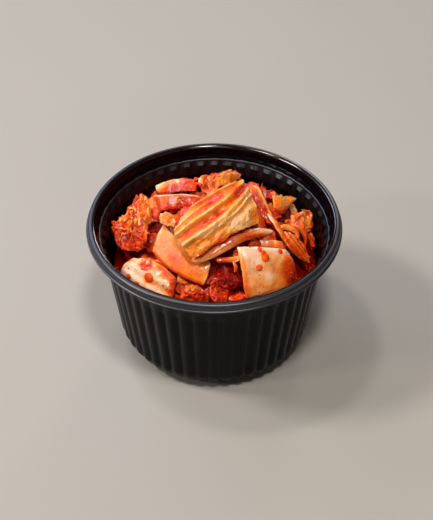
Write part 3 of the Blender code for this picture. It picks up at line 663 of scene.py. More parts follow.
# %% Large pieces
PIECES = {
    "pleated_leaf": dict(
        slot="cabbage_leaf", thick=1.5, bow=1.2, crumple=0.7, pulp=0.75, ragged=0.04, corner=0.25,
        cells=(150, 96), seed=21, ripe=(0.3, 0.0, 0.0), groove=0.6, sauce=(0.1, 0.0, -0.05),
        paste=0.25, wander=0.06, uneven=0.14,
        stations=[
            ((17.2, -1.2, 10.6), (4.4, -11.0, -3.7)), ((9.0, -8.0, 12.2), (4.3, -10.2, -4.5)),
            ((0.5, -13.6, 11.2), (4.3, -9.3, -4.6)), ((-7.4, -18.8, 8.4), (4.6, -8.6, -4.5)),
            ((-15.0, -24.4, 3.8), (4.8, -6.8, -3.2))],
        ribs=[
            (-0.98, -0.98, 0.07, 1.2, 1.0), (-0.9, -0.6, 0.13, 1.8, 2.4, 0.45),
            (-0.5, 0.15, 0.15, 2.0, 2.6, 0.45), (-0.22, 0.4, 0.07, 1.4, 0.2, 0.4),
            (-0.7, -0.85, 0.08, 0.0, 1.3, 0.1), (0.3, 0.75, 0.4, 1.6, 0.6, 0.1)],
        spots=[
            (-0.55, 0.75, 9.0, 5.0, -0.4, -0.6), (-0.88, 0.62, 3.6, 3.0, 0.4, 0.2),
            (-0.86, -0.62, 3.4, 1.8, 0.3, 0.6), (0.6, 0.75, 7.0, 3.0, -0.12, -0.2),
            (0.65, -0.82, 5.0, 3.0, -0.3, -0.4), (-0.7, -0.52, 4.0, 2.4, 0.3, 0.7),
            (-0.15, -0.72, 6.0, 2.6, 0.15, 0.2), (0.0, 0.02, 9.0, 1.0, 0.3, 0.3),
            (0.2, 0.98, 40.0, 1.2, 0.3, 0.3)]),
    "long_stem": dict(
        slot="cabbage_stem", thick=2.6, bow=0.3, crumple=0.35, ragged=0.02, corner=0.8, boxy=2.2,
        cells=(120, 30), seed=31, ripe=(0.4, 0.0, 0.05), sauce=(0.15, -0.1, 0.1), paste=0.3,
        uneven=0.1,
        stations=[
            ((27.0, -11.0, 1.0), (-0.2, -2.1, -0.8)), ((19.0, -14.6, 3.2), (0.3, -2.6, -1.0)),
            ((12.0, -17.8, 4.0), (0.9, -2.7, -1.1)), ((3.8, -22.8, 2.7), (1.1, -2.8, -1.2)),
            ((-3.6, -26.4, 0.5), (1.5, -2.8, -1.2)), ((-10.0, -28.4, -1.7), (1.1, -2.3, -1.1))],
        spots=[
            (-0.85, -0.2, 6.0, 3.0, -0.3, -0.6), (-0.6, 0.95, 9.0, 1.8, 0.5, 0.7),
            (-0.15, -0.8, 8.0, 2.0, 0.4, 0.6), (0.75, 0.5, 6.0, 3.0, 0.1, 0.0)]),
    "square_stem": dict(
        slot="cabbage_stem", thick=3.4, bow=0.8, crumple=0.35, ragged=0.015, corner=0.12, boxy=9.0,
        cells=(84, 96), seed=41, ripe=(0.2, 0.08, 0.03), groove=0.0, sauce=(-0.05, 0.05, 0.0),
        paste=0.2,
        stations=[
            ((21.5, -19.6, -1.2), (11.6, 3.1, -3.6)), ((23.9, -24.3, -5.2), (12.3, 4.2, -3.3)),
            ((25.5, -29.6, -10.5), (12.5, 5.3, -2.6)), ((26.6, -34.2, -15.6), (12.6, 6.2, -1.6))],
        spots=[
            (0.25, 0.85, 8.0, 7.0, 0.75, 0.35), (0.9, 0.0, 4.0, 20.0, 0.2, 0.0),
            (0.0, -0.97, 20.0, 1.6, 0.35, 0.0)]),
    "glossy_stem": dict(
        slot="cabbage_stem", thick=3.4, bow=0.3, crumple=0.45, ragged=0.05, corner=0.3, boxy=8.0,
        cells=(110, 54), seed=51, ripe=(0.1, 0.1, 0.03), groove=0.25, sauce=(-0.02, 0.06, 0.0),
        paste=0.35,
        stations=[
            ((-41.6, -18.2, -13.6), (-3.4, -1.4, -3.8)),
            ((-33.0, -26.0, -11.2), (-3.2, -3.7, -5.2)),
            ((-25.6, -31.6, -11.4), (-2.2, -4.3, -5.1)), ((-17.8, -36.2, -12.8), (-1.4, -3.6, -4.2))],
        ribs=[(-0.3, -0.1, 0.25, 0.5, 0.6), (0.4, 0.6, 0.25, 0.5, 0.6)],
        spots=[
            (-1.0, 0.0, 4.0, 8.0, 0.3, 0.3), (1.0, 0.0, 4.0, 8.0, 0.3, 0.7),
            (-0.25, -0.62, 3.4, 3.0, 0.7, 1.0), (0.05, 0.0, 2.8, 2.8, 0.3, 0.2),
            (0.35, -0.9, 6.0, 1.8, 0.3, 0.5)]),
    "front_leaf": dict(
        slot="cabbage_leaf", thick=2.2, bow=1.2, crumple=1.8, pulp=0.8, ragged=0.2, corner=0.7,
        cells=(54, 36), seed=61, ripe=(0.74, 0.1, 0.0), sauce=(0.6, 0.0, 0.0), paste=0.6,
        stations=[
            ((-14.6, -36.8, -13.4), (-1.6, -2.6, -3.0)), ((-9.6, -37.8, -13.6), (-1.2, -2.8, -2.8)),
            ((-4.2, -38.4, -14.4), (-0.6, -2.6, -2.2))]),
    "wedge_leaf": dict(
        slot="cabbage_leaf", thick=1.6, bow=0.8, crumple=0.3, ragged=0.02, corner=0.15,
        cells=(110, 44), seed=71, ripe=(0.42, 0.0, 0.0), groove=0.0, sauce=(-0.25, 0.05, 0.0),
        paste=0.1, uneven=0.07,
        stations=[
            ((-26.3, -12.6, -0.8), (-2.7, -5.4, -3.9)), ((-19.5, -20.6, -3.6), (-2.9, -4.9, -3.8)),
            ((-10.8, -26.9, -6.0), (-2.5, -4.4, -3.6)), ((-2.8, -30.5, -7.8), (-1.8, -4.3, -3.3))],
        spots=[
            (-0.1, 0.3, 3.6, 2.4, 0.22, 0.0), (0.0, -0.95, 40.0, 2.4, -0.2, 0.0),
            (0.25, 1.0, 40.0, 1.3, 0.5, 0.6), (0.4, -0.7, 3.0, 1.2, 0.4, 0.7)]),
    "upper_stem": dict(
        slot="cabbage_stem", thick=1.6, bow=-1.2, crumple=0.5, ragged=0.04, corner=0.4,
        cells=(96, 40), seed=81, ripe=(0.74, 0.2, 0.2), groove=0.0, sauce=(0.3, 0.4, 0.25),
        paste=0.35,
        stations=[
            ((-27.7, 12.8, 7.2), (1.3, -2.9, 0.6)), ((-22.3, 10.6, 10.2), (0.8, -3.4, -0.5)),
            ((-15.5, 8.8, 12.6), (0.5, -3.5, -0.8)), ((-8.4, 7.4, 13.9), (0.7, -3.6, -1.0))],
        spots=[(-0.65, -0.6, 7.0, 2.4, -0.35, -0.8)]),
    "folded_stem": dict(
        slot="cabbage_stem", thick=1.8, bow=0.6, crumple=0.6, ragged=0.04, corner=0.3,
        cells=(96, 40), seed=91, ripe=(0.8, 0.05, 0.1), groove=0.2, sauce=(0.42, 0.1, 0.25),
        paste=0.35,
        stations=[
            ((-27.3, 5.6, 3.6), (1.1, -5.2, -0.6)), ((-20.6, 3.2, 6.6), (1.0, -3.8, -1.1)),
            ((-12.6, 1.2, 9.2), (0.5, -2.9, -1.3)), ((-6.4, -0.4, 10.0), (-0.3, -2.6, -1.0))],
        ribs=[(-0.85, -0.85, 0.16, 1.0, 1.0)],
        spots=[
            (0.0, -0.95, 40.0, 1.0, -0.5, -0.7), (-0.75, 0.1, 4.5, 4.0, -0.25, -0.5),
            (0.3, 1.0, 14.0, 1.6, 0.2, 0.9)]),
    "crumpled_leaf": dict(
        slot="cabbage_leaf", thick=1.6, bow=1.0, crumple=2.3, pulp=0.5, frill=0.6, ragged=0.1,
        corner=0.6, cells=(90, 60), seed=101, ripe=(0.46, 0.0, -0.05), groove=0.3,
        sauce=(0.2, 0.0, 0.1), paste=0.45, uneven=0.3,
        stations=[
            ((-3.6, 9.6, 12.8), (0.3, -4.6, -0.4)), ((0.6, 11.4, 14.0), (0.0, -5.6, -0.4)),
            ((6.4, 13.4, 13.8), (-0.2, -5.0, -0.2)), ((12.2, 15.6, 12.2), (-0.1, -2.6, 0.2))],
        ribs=[(-0.5, 0.1, 0.2, 0.6, 1.0, 0.3), (0.7, 0.4, 0.2, 0.9, 0.5, -0.3)],
        spots=[(0.8, 0.0, 3.0, 9.0, -0.1, -0.3)]),
    "left_leaf": dict(
        slot="cabbage_leaf", thick=2.4, bow=2.0, crumple=2.2, pulp=0.6, frill=1.5, ragged=0.2,
        corner=0.7, cells=(110, 84), seed=111, ripe=(0.66, 0.1, 0.0), groove=0.5,
        sauce=(0.38, 0.1, 0.0), paste=0.6, uneven=0.3,
        stations=[
            ((-32.0, 8.9, 3.4), (3.0, -4.4, 2.0)), ((-34.0, 1.3, 0.9), (5.4, -8.4, 3.0)),
            ((-37.0, -4.0, -3.0), (7.2, -10.0, 3.4)), ((-39.4, -7.8, -6.6), (7.8, -9.6, 3.3)),
            ((-40.2, -12.2, -9.6), (6.0, -6.2, 2.4))],
        ribs=[
            (-0.7, 0.1, 0.07, 1.4, 1.6), (-0.1, -0.5, 0.06, 1.2, 1.2), (0.5, 0.3, 0.06, 1.2, 1.4),
            (0.1, 0.8, 0.06, 1.6, 1.0)],
        spots=[(-0.6, 0.6, 6.0, 4.0, -0.2, -0.3)]),
    "curled_leaf": dict(
        slot="cabbage_leaf", thick=1.3, bow=1.8, crumple=0.6, frill=0.5, ragged=0.07, corner=0.35,
        cells=(84, 48), seed=121, ripe=(0.42, 0.0, 0.1), groove=0.0, sauce=(0.15, -0.2, 0.2),
        paste=0.3,
        stations=[
            ((26.6, 2.4, 6.4), (0.5, -5.0, -1.2)), ((30.4, 4.0, 4.4), (0.0, -5.8, -1.2)),
            ((34.2, 9.0, 1.2), (-0.5, -5.2, -0.1)), ((37.4, 13.6, -1.2), (-0.6, -2.2, 0.3))],
        spots=[(0.3, 0.2, 8.0, 3.6, -0.2, -0.6), (0.0, 0.95, 20.0, 2.0, 0.4, 0.7)]),
    "right_leaf": dict(
        slot="cabbage_leaf", thick=2.2, bow=1.6, crumple=1.6, pulp=0.6, frill=0.8, ragged=0.12,
        corner=0.7, cells=(70, 54), seed=131, ripe=(0.7, 0.0, 0.1), groove=0.3,
        sauce=(0.5, 0.0, 0.2), paste=0.6,
        stations=[
            ((41.6, 8.4, -4.4), (4.0, 3.9, -3.6)), ((41.2, 1.6, -4.8), (4.8, 3.8, -3.7)),
            ((40.8, -4.6, -5.8), (4.4, 2.5, -3.2))],
        ribs=[(-0.5, -0.3, 0.2, 0.8, 0.8), (0.4, 0.5, 0.2, 0.8, 0.8)],
        spots=[(0.0, 0.1, 4.0, 3.2, -0.35, -0.8)]),
    "dangling_leaf": dict(
        slot="cabbage_leaf", thick=2.0, bow=1.0, crumple=0.9, ragged=0.06, corner=0.7,
        cells=(84, 48), seed=141, ripe=(0.56, 0.1, 0.0), groove=0.3, sauce=(0.12, 0.1, 0.0),
        paste=0.3,
        stations=[
            ((33.4, -9.6, -1.4), (3.6, 0.8, -2.3)), ((36.4, -12.4, -4.6), (4.4, 2.0, -2.8)),
            ((39.8, -14.8, -8.8), (3.6, 1.7, -2.4)), ((42.4, -17.0, -13.0), (2.0, 0.5, -1.4))],
        ribs=[
            (-0.6, -0.3, 0.14, 1.2, 1.0), (0.1, 0.0, 0.12, 0.8, 1.2), (0.6, 0.5, 0.14, 1.0, 0.9)]),
    "red_leaf": dict(
        slot="cabbage_leaf", thick=1.4, bow=0.8, crumple=0.9, ragged=0.1, corner=0.5,
        cells=(96, 40), seed=151, ripe=(0.5, 0.0, 0.0), groove=0.6, sauce=(0.4, 0.0, 0.0), paste=0.5,
        stations=[
            ((17.6, 12.4, 9.4), (2.6, 0.2, -0.9)), ((21.4, 5.4, 6.6), (3.0, 0.6, -1.4)),
            ((24.4, -2.0, 3.6), (2.9, 0.5, -1.4)), ((26.8, -7.6, 1.6), (2.5, 0.5, -1.2))],
        ribs=[(0.3, 0.4, 0.4, 0.8, 0.6)],
        spots=[(-0.5, 0.2, 7.0, 2.6, -0.22, -0.6)]),
    "small_stem": dict(
        slot="cabbage_stem", thick=2.4, bow=0.8, crumple=1.9, pulp=0.8, ragged=0.16, corner=0.3,
        cells=(60, 48), seed=161, ripe=(0.25, 0.1, 0.0), groove=0.0, sauce=(0.2, 0.1, 0.0),
        paste=0.6,
        stations=[((-21.4, -5.4, 6.3), (3.5, -1.2, 1.0)), ((-21.8, -11.4, 4.3), (3.3, -1.4, 0.6))]),
}

# %% Make the large pieces
SKINS = {"cabbage_leaf": leaf, "cabbage_stem": stem, "chili_sauce": sauce}
large = {}
cuts = {}
for name, recipe in PIECES.items():
    slot = recipe.pop("slot")
    cuts[name] = cut_piece(**recipe)
    large[name] = place_piece(name + "_cut", cuts[name], SKINS[slot], name)
    print(name, len(large[name].data.polygons), "faces")

# %% [markdown]
# Small cuts that fill the gaps between the large ones: curls and loops of leaf edge, a
# slanting rib, the corner of a second square rib behind the first, a lobe and a frill at the
# left, and a leaf sunk in the sauce at the front. They belong to the heap, so they have no
# CAD solid of their own.

# %% Small cuts laid one by one
SMALL = {
    "orange_curl": dict(
        slot="cabbage_leaf", thick=0.9, bow=0.6, crumple=0.6, frill=0.6, ragged=0.2, cells=(44, 16),
        seed=171, ripe=(0.4, -0.3, 0.0), sauce=(0.1, -0.4, 0.0),
        stations=[
            ((1.0, -27.6, -1.8), (0.3, -1.3, -0.9)), ((5.0, -27.6, -1.6), (0.2, -0.9, -0.7)),
            ((9.0, -27.2, -1.6), (0.3, -0.8, -0.6)), ((12.0, -24.6, -2.2), (0.9, -0.8, -0.5))]),
    "orange_tail": dict(
        slot="cabbage_leaf", thick=0.9, bow=0.4, crumple=0.5, ragged=0.2, cells=(30, 14), seed=172,
        ripe=(0.42, 0.0, 0.0), sauce=(0.0, 0.2, 0.0),
        stations=[
            ((8.6, -27.6, -2.0), (0.9, -0.3, 0.0)), ((9.6, -29.6, -3.6), (0.8, -0.3, 0.0)),
            ((9.4, -31.4, -5.6), (0.5, -0.2, 0.0))]),
    "slant_rib": dict(
        slot="cabbage_stem", thick=1.7, bow=0.5, crumple=0.6, ragged=0.06, corner=0.7,
        cells=(70, 24), seed=173, ripe=(0.55, 0.15, 0.1), sauce=(0.25, 0.2, 0.1),
        stations=[
            ((24.6, -3.8, 5.6), (1.4, 0.5, -0.6)), ((28.2, -8.2, 3.2), (1.5, 0.6, -0.9)),
            ((31.4, -11.8, -0.2), (1.4, 0.6, -0.9)), ((33.4, -14.4, -4.0), (1.0, 0.4, -0.6))],
        spots=[(-0.8, 0.0, 5.0, 2.0, -0.1, -0.6)]),
    "shy_square": dict(
        slot="cabbage_stem", thick=1.6, bow=0.1, crumple=0.4, ragged=0.04, corner=0.15, boxy=8.0,
        cells=(60, 24), seed=174, ripe=(0.4, 0.25, 0.1), sauce=(0.05, 0.3, 0.1),
        stations=[
            ((20.6, -15.6, -2.4), (0.1, -1.5, -1.1)), ((26.0, -15.0, -2.8), (0.1, -1.6, -1.2)),
            ((32.0, -14.8, -4.2), (0.3, -1.4, -1.2))]),
    "pale_flap": dict(
        slot="cabbage_stem", thick=0.9, bow=0.3, crumple=0.7, ragged=0.15, cells=(40, 14), seed=175,
        ripe=(0.3, 0.1, 0.3), sauce=(0.1, 0.0, 0.3), paste=0.5,
        stations=[
            ((-6.4, 11.0, 14.4), (0.9, 0.2, 0.1)), ((-5.8, 8.2, 14.4), (1.1, 0.2, 0.1)),
            ((-5.0, 5.8, 13.4), (0.7, 0.2, 0.1))]),
    "orange_loop": dict(
        slot="cabbage_leaf", thick=1.0, bow=0.8, crumple=0.5, frill=0.5, ragged=0.12,
        cells=(60, 20), seed=176, ripe=(0.5, 0.15, 0.0), sauce=(0.1, 0.3, 0.0),
        stations=[
            ((30.4, -9.4, 2.2), (0.3, -1.3, -0.4)), ((34.0, -8.4, 1.8), (0.2, -1.4, -0.4)),
            ((37.6, -9.6, 0.2), (-0.5, -1.2, -0.6)), ((38.8, -12.4, -2.2), (-0.9, -0.4, -0.5))]),
    "second_loop": dict(
        slot="cabbage_leaf", thick=1.0, bow=0.8, crumple=0.5, frill=0.5, ragged=0.12,
        cells=(60, 20), seed=177, ripe=(0.68, 0.2, 0.0), sauce=(0.25, 0.3, 0.0),
        stations=[
            ((36.4, -6.4, 0.4), (0.4, -1.3, -0.3)), ((39.8, -6.4, -0.8), (-0.4, -1.3, -0.6)),
            ((42.2, -9.0, -3.4), (-0.9, -0.9, -0.6)), ((42.4, -12.0, -6.6), (-0.8, -0.2, -0.4))]),
    "left_lobe": dict(
        slot="cabbage_leaf", thick=1.5, bow=1.0, crumple=0.8, frill=0.3, ragged=0.12,
        cells=(44, 30), seed=178, ripe=(0.5, 0.1, 0.1), sauce=(0.1, 0.2, 0.1),
        stations=[
            ((-28.6, 6.8, 6.4), (2.2, 0.8, 0.6)), ((-27.8, 3.2, 5.4), (2.4, 0.8, 0.6)),
            ((-26.6, 0.0, 3.0), (1.8, 0.6, 0.3))]),
    "left_frill": dict(
        slot="cabbage_leaf", thick=1.2, bow=0.8, crumple=2.2, pulp=0.6, frill=1.6, ragged=0.2,
        corner=0.6, cells=(80, 44), seed=180, ripe=(0.62, 0.1, -0.15), groove=0.3,
        sauce=(0.35, 0.1, 0.0), paste=0.5,
        stations=[
            ((-30.4, 0.2, 2.6), (-2.4, -1.4, 0.4)), ((-31.6, -5.4, 0.4), (-3.0, -2.0, 0.4)),
            ((-33.6, -10.6, -3.4), (-3.2, -2.2, 0.2)), ((-36.0, -14.0, -7.2), (-2.6, -1.6, 0.0))],
        ribs=[(-0.4, 0.3, 0.16, 1.0, 1.2)]),
    "sunken_leaf": dict(
        slot="chili_sauce", thick=1.0, bow=1.0, crumple=1.1, ragged=0.25, corner=1.0,
        cells=(80, 36), seed=181, ripe=(0.95, 0.0, 0.0), groove=0.0, sauce=(-0.2, 0.0, 0.0),
        paste=0.2,
        stations=[
            ((-3.6, -32.4, -10.6), (0.6, -3.4, -2.0)), ((2.4, -32.2, -9.4), (0.2, -3.8, -2.0)),
            ((8.4, -32.0, -9.6), (-0.2, -3.8, -2.0)), ((14.0, -31.6, -11.6), (-0.4, -3.2, -1.8))],
        ribs=[(-0.1, 0.3, 0.3, 0.4, 0.8)]),
    "orange_sliver": dict(
        slot="cabbage_leaf", thick=1.1, bow=0.3, crumple=0.3, ragged=0.08, cells=(34, 16), seed=179,
        ripe=(0.3, 0.1, 0.0), sauce=(-0.2, 0.0, 0.0),
        stations=[
            ((36.6, 1.6, 0.2), (1.1, 0.2, 0.0)), ((36.6, -1.4, -1.2), (1.1, 0.2, 0.0)),
            ((35.8, -4.0, -3.2), (0.7, 0.2, 0.0))]),
}
small = {}
for name, recipe in SMALL.items():
    slot = recipe.pop("slot")
    small[name] = place_piece(name, cut_piece(**recipe), SKINS[slot], None)
print(len(small), "small cuts")

# %% [markdown]
# ## The heap under them
# What fills the bowl is one wet mass of leaf and sauce. It could be a fluid or a pile of
# rigid bodies, but it never shows below its surface. So it is a core that follows the bowl's
# inside and rises to just under the large pieces, with the lumps of the leaves in it as
# relief; the finer stuff is strewn on it afterwards.

# %% Search trees
SKY = 200.0
DOWN = Vector((0.0, 0.0, -1.0))
UP = Vector((0.0, 0.0, 1.0))


def gathered(objects):
    """The points, in millimetres, and the faces of several objects as one set."""
    points = []
    faces = []
    for obj in objects:
        first = len(points)
        points += [tuple(vertex.co / MM) for vertex in obj.data.vertices]
        faces += [[first + k for k in polygon.vertices] for polygon in obj.data.polygons]
    return points, faces


def height_on(tree, x, y):
    """Height of the topmost face of a search tree at (x, y), or None beside it."""
    hit = tree.ray_cast(Vector((x, y, SKY)), DOWN)[0]
    return None if hit is None else hit.z


heap_tree = BVHTree.FromPolygons(*gathered([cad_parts["kimchi_heap"]]))
large_tree = BVHTree.FromPolygons(*gathered(large.values()))

# %% Core surface
# The surface is a fan of rings from the middle out to where the CAD heap ends. It takes that
# heap's height, is relaxed where it is steep, gets its lumps, and sinks a little.
SECTORS = 216
RINGS = 62
SEARCH_FROM = 54.0
SEARCH_STEP = 0.3
RELAXED = 3
SUNK = 1.3
POOL = (5.0, -30.0)
angles = np.arange(SECTORS) * 2.0 * math.pi / SECTORS
shares = np.linspace(0.0, 1.0, RINGS + 1)[1:]
core_radius = np.empty(SECTORS)
edge_level = np.empty(SECTORS)
for k, angle in enumerate(angles):
    reach = SEARCH_FROM
    level = None
    while level is None:
        reach -= SEARCH_STEP
        level = height_on(heap_tree, reach * math.cos(angle), reach * math.sin(angle))
    core_radius[k] = reach
    edge_level[k] = level
grid = np.empty((RINGS, SECTORS, 3))
for i, share in enumerate(shares):
    for k, angle in enumerate(angles):
        x = share * core_radius[k] * math.cos(angle)
        y = share * core_radius[k] * math.sin(angle)
        level = height_on(heap_tree, x, y)
        grid[i, k] = x, y, edge_level[k] if level is None else level
for _ in range(RELAXED):
    z = grid[..., 2]
    around = 0.5 * (np.roll(z, 1, 1) + np.roll(z, -1, 1))
    inward = np.concatenate([z[:1], z[:-1]])
    outward = np.concatenate([z[1:], z[-1:]])
    grid[..., 2] = np.minimum(z, 0.4 * z + 0.3 * around + 0.15 * (inward + outward))
flatland = grid * (1.0, 1.0, 0.6)
calm = ease(10.0, 6.0, np.hypot(grid[..., 0] - POOL[0], grid[..., 1] - POOL[1]))
lumps = 1.5 * rough_noise(flatland, 6.5, 3) + 0.5 * (1.0 - calm) * rough_noise(flatland, 1.8, 5)
fade = np.clip((1.0 - shares) / 0.06, 0.0, 1.0)[:, None]
grid[..., 2] += lumps * (0.3 + 0.7 * fade) - SUNK

# %% Core mesh
CORE_FOOT = 2.6
WALL_GAP = 0.7
side_rings = []
for share in (0.8, 0.55, 0.3, 0.12, 0.03):
    z = CORE_FOOT + (grid[-1, :, 2] - CORE_FOOT) * share
    wall = np.array([inner_radius(h) - crease_depth(h) - WALL_GAP for h in z])
    wall = np.minimum(wall, core_radius)
    side_rings.append(np.stack([wall * np.cos(angles), wall * np.sin(angles), z], -1))
core_rings = np.concatenate([grid, np.array(side_rings)])
points = np.vstack([core_rings.reshape(-1, 3), [[0.0, 0.0, grid[0, :, 2].mean()], [0.0, 0.0, CORE_FOOT]]])
faces = closed_faces(len(core_rings), SECTORS)
open_share = np.zeros(len(points))
for k, point in enumerate(points[:RINGS * SECTORS]):
    above = large_tree.ray_cast(Vector(point) + UP * 0.1, UP)[0]
    open_share[k] = 1.0 - calm.flat[k] if above is None else 0.0
core = make_object("sauce_core", points, faces, sauce, {"open": open_share})
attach(core, "root")
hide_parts("kimchi_heap")
print("core:", len(faces), "faces;", round(float(open_share.mean()), 2), "of it open")

# %% [markdown]
# ## Small leaves between the large pieces
# Where no large cut lies, the heap is made of crumpled bits of leaf and rib, 8 to 16 mm
# long. Each is grown over the core from a start point: its stations follow the core's
# surface, rise a little towards its ends, and twist. Where a large piece lies above, the bit
# is pressed down under it, as weight does in the real heap. Thin curls of torn leaf, 3 to
# 6 mm long, are grown the same way over the large pieces, where those are frayed.

# %% Growing a small leaf
LAID_INTO = 0.5
core_tree = BVHTree.FromPolygons(*gathered([core]))
chance = np.random.default_rng(8)


def press(points, gap=0.35, wall_gap=0.5):
    """Move points inside the bowl, and under any large piece above them."""
    for k, (x, y, z) in enumerate(points):
        reach = math.hypot(x, y)
        limit = inner_radius(min(z, INSIDE_TOP)) - crease_depth(z) - wall_gap
        if reach > limit:
            points[k, :2] *= limit / reach
        above = large_tree.ray_cast(Vector((x, y, 0.0)), UP)[0]
        if above is not None and z > above.z - gap:
            points[k, 2] = above.z - gap


def grown_leaf(x, y, heading, length, width, rise, seed, over=None, **looks):
    """A cut piece whose stations follow the core from (x, y), or the large pieces above it."""
    stations = []
    bend = chance.uniform(-0.5, 0.5)
    tilt = chance.uniform(-0.7, 0.7)
    twist = chance.uniform(-0.6, 0.6)
    for k in range(4):
        t = k / 3.0 - 0.5
        turned = heading + bend * t
        spot_x = x + length * t * math.cos(turned)
        spot_y = y + length * t * math.sin(turned)
        level = height_on(core_tree, spot_x, spot_y)
        if over and level is not None:
            level = height_on(over, spot_x, spot_y)
        if level is None:
            return None
        level = level - RIM - (LAID_INTO if over else 0.0)
        lean = tilt + twist * t
        across = (-math.sin(turned) * math.cos(lean), math.cos(turned) * math.cos(lean), math.sin(lean))
        half = tuple(0.5 * width * (1.0 - 0.5 * t * t) * c for c in across)
        stations.append(((spot_x, spot_y, level + 0.8 + rise * (0.3 + t * t + 0.5 * t)), half))
    cut = cut_piece(stations, seed=seed, cells=(16, 6) if over else (26, 17), **looks)
    if not over:
        press(cut["points"])
    return cut


# %% Bits over the core
# A bit starts where the core is open, SPACING from the next. Deep in the pool at the front
# they are redder; behind the heap they lie flatter; and near the wall they are shorter. The
# places of BARE (x, y, reach) stay free, so that the large cuts beside them show. They are
# left out only after they are grown, so that one more of them doesn't move all the others.
SPACING = 5.6
POOL_DEPTHS = (5.0, -31.0)
BARE = [(-26.0, -5.0, 5.0), (39.0, -23.0, 8.0), (47.0, -7.0, 7.0), (-46.0, -14.0, 6.0), (47.0, 2.0, 5.0)]
open_spots = core_rings[:RINGS].reshape(-1, 3)[open_share[:RINGS * SECTORS] > 0.5]
chosen = []
for spot in open_spots[chance.permutation(len(open_spots))]:
    if all((spot[0] - other[0]) ** 2 + (spot[1] - other[1]) ** 2 > SPACING ** 2 for other in chosen):
        chosen.append(spot)
bits = {"cabbage_leaf": [], "cabbage_stem": []}
for k, (x, y, z) in enumerate(chosen):
    from_pool = math.hypot(x - POOL_DEPTHS[0], y - POOL_DEPTHS[1])
    deep = float(ease(14.0, 7.0, from_pool)) if y < -20.0 else 0.0
    kind = "cabbage_stem" if chance.random() < 0.2 * (1.0 - deep) else "cabbage_leaf"
    pale = (0.0 if kind == "cabbage_leaf" else 0.2) - 0.3 * deep
    tall = 0.25 if y > 5.0 else 1.0
    longest = 16.0 if math.hypot(x, y) < 36.0 else 9.0
    cut = grown_leaf(
        x, y, chance.uniform(0.0, 2.0 * math.pi), chance.uniform(8.0, longest), chance.uniform(5.0, 11.0),
        tall * chance.uniform(0.5, 3.0), 300 + 17 * k, thick=chance.uniform(0.7, 1.2),
        bow=tall * chance.uniform(-0.8, 2.0),
        crumple=chance.uniform(1.0, 2.0), frill=chance.uniform(0.4, 1.4), ragged=0.14, corner=0.6,
        ripe=(chance.uniform(0.55, 0.9) - pale, chance.uniform(-0.2, 0.2), chance.uniform(-0.2, 0.2)),
        sauce=(chance.uniform(0.2, 0.7), chance.uniform(-0.2, 0.2), 0.0), paste=0.5, groove=0.0,
        pale_edge=0.25 * (1.0 - deep), pulp=0.75)
    if cut and all(math.hypot(x - bare_x, y - bare_y) > reach for bare_x, bare_y, reach in BARE):
        bits[kind].append(cut)
print("crumpled bits:", len(bits["cabbage_leaf"]), "of leaf,", len(bits["cabbage_stem"]), "of stem")

# %% Curls over the large pieces
# Each place: its middle, its reach, and how many curls are tried there.
CURLS = [
    (-35.0, -3.0, 10.0, 44), (41.0, 2.5, 5.5, 14), (3.5, 12.0, 7.0, 14), (-14.0, -1.5, 4.0, 8),
    (-10.0, -38.0, 5.0, 16)]
for middle_x, middle_y, reach, count in CURLS:
    for k in range(count):
        away = reach * math.sqrt(chance.uniform(0.0, 1.0))
        around = chance.uniform(0.0, 2.0 * math.pi)
        cut = grown_leaf(
            middle_x + away * math.cos(around), middle_y + away * math.sin(around), chance.uniform(0.0, 6.28),
            chance.uniform(3.0, 6.0), chance.uniform(0.7, 1.5), chance.uniform(0.0, 0.6),
            900 + 13 * len(bits["cabbage_leaf"]), over=large_tree, thick=0.45, bow=0.2, crumple=0.6,
            frill=0.4, ragged=0.3, corner=0.7, ripe=(chance.uniform(0.2, 0.75), 0.1, 0.1),
            sauce=(chance.uniform(-0.1, 0.3), 0.1, 0.0), paste=0.4, groove=0.0)
        if cut:
            bits["cabbage_leaf"].append(cut)


def joined(cuts):
    """Several cut pieces as one set of points, faces and values."""
    firsts = np.cumsum([0] + [len(cut["points"]) for cut in cuts[:-1]])
    whole = {key: np.concatenate([cut[key] for cut in cuts]) for key in ("points", "flat", "ripe", "sauce")}
    whole["faces"] = np.concatenate([cut["faces"] + first for cut, first in zip(cuts, firsts)])
    return whole


for slot, grown in bits.items():
    name = "small_" + slot.split("_")[1] + "_bits"
    small[name] = place_piece(name, joined(grown), SKINS[slot], None)
    print(name, "hold", len(grown), "bits and curls")

# %% [markdown]
# ## Crushed chili
# Kimchi is seasoned with coarse chili flakes, 0.4 to 1.5 mm across, which cling where the
# paste is thick, and beads of oil stand on the cleaner skin. Placing thousands by hand is
# out of the question: a Geometry Nodes tree scatters them over every upward face in
# proportion to a weight, lays each on the surface with a random turn, and makes them real so
# that they can be exported.

# %% Flake shape
def pebble(name, radii, jitter, seed, subdivisions, material):
    """A small irregular lump, with its radii in millimetres, to be repeated."""
    mesh = bpy.data.meshes.new(name)
    blank = bmesh.new()
    bmesh.ops.create_icosphere(blank, subdivisions=subdivisions, radius=1.0)
    shape = np.random.default_rng(seed)
    for vertex in blank.verts:
        size = 1.0 + jitter * shape.uniform(-1.0, 1.0)
        vertex.co = Vector([vertex.co[axis] * radii[axis] * size * MM for axis in range(3)])
    blank.to_mesh(mesh)
    blank.free()
    mesh.polygons.foreach_set("use_smooth", [True] * len(mesh.polygons))
    mesh.materials.append(material)
    lump = bpy.data.objects.new(name, mesh)
    bpy.context.collection.objects.link(lump)
    return lump


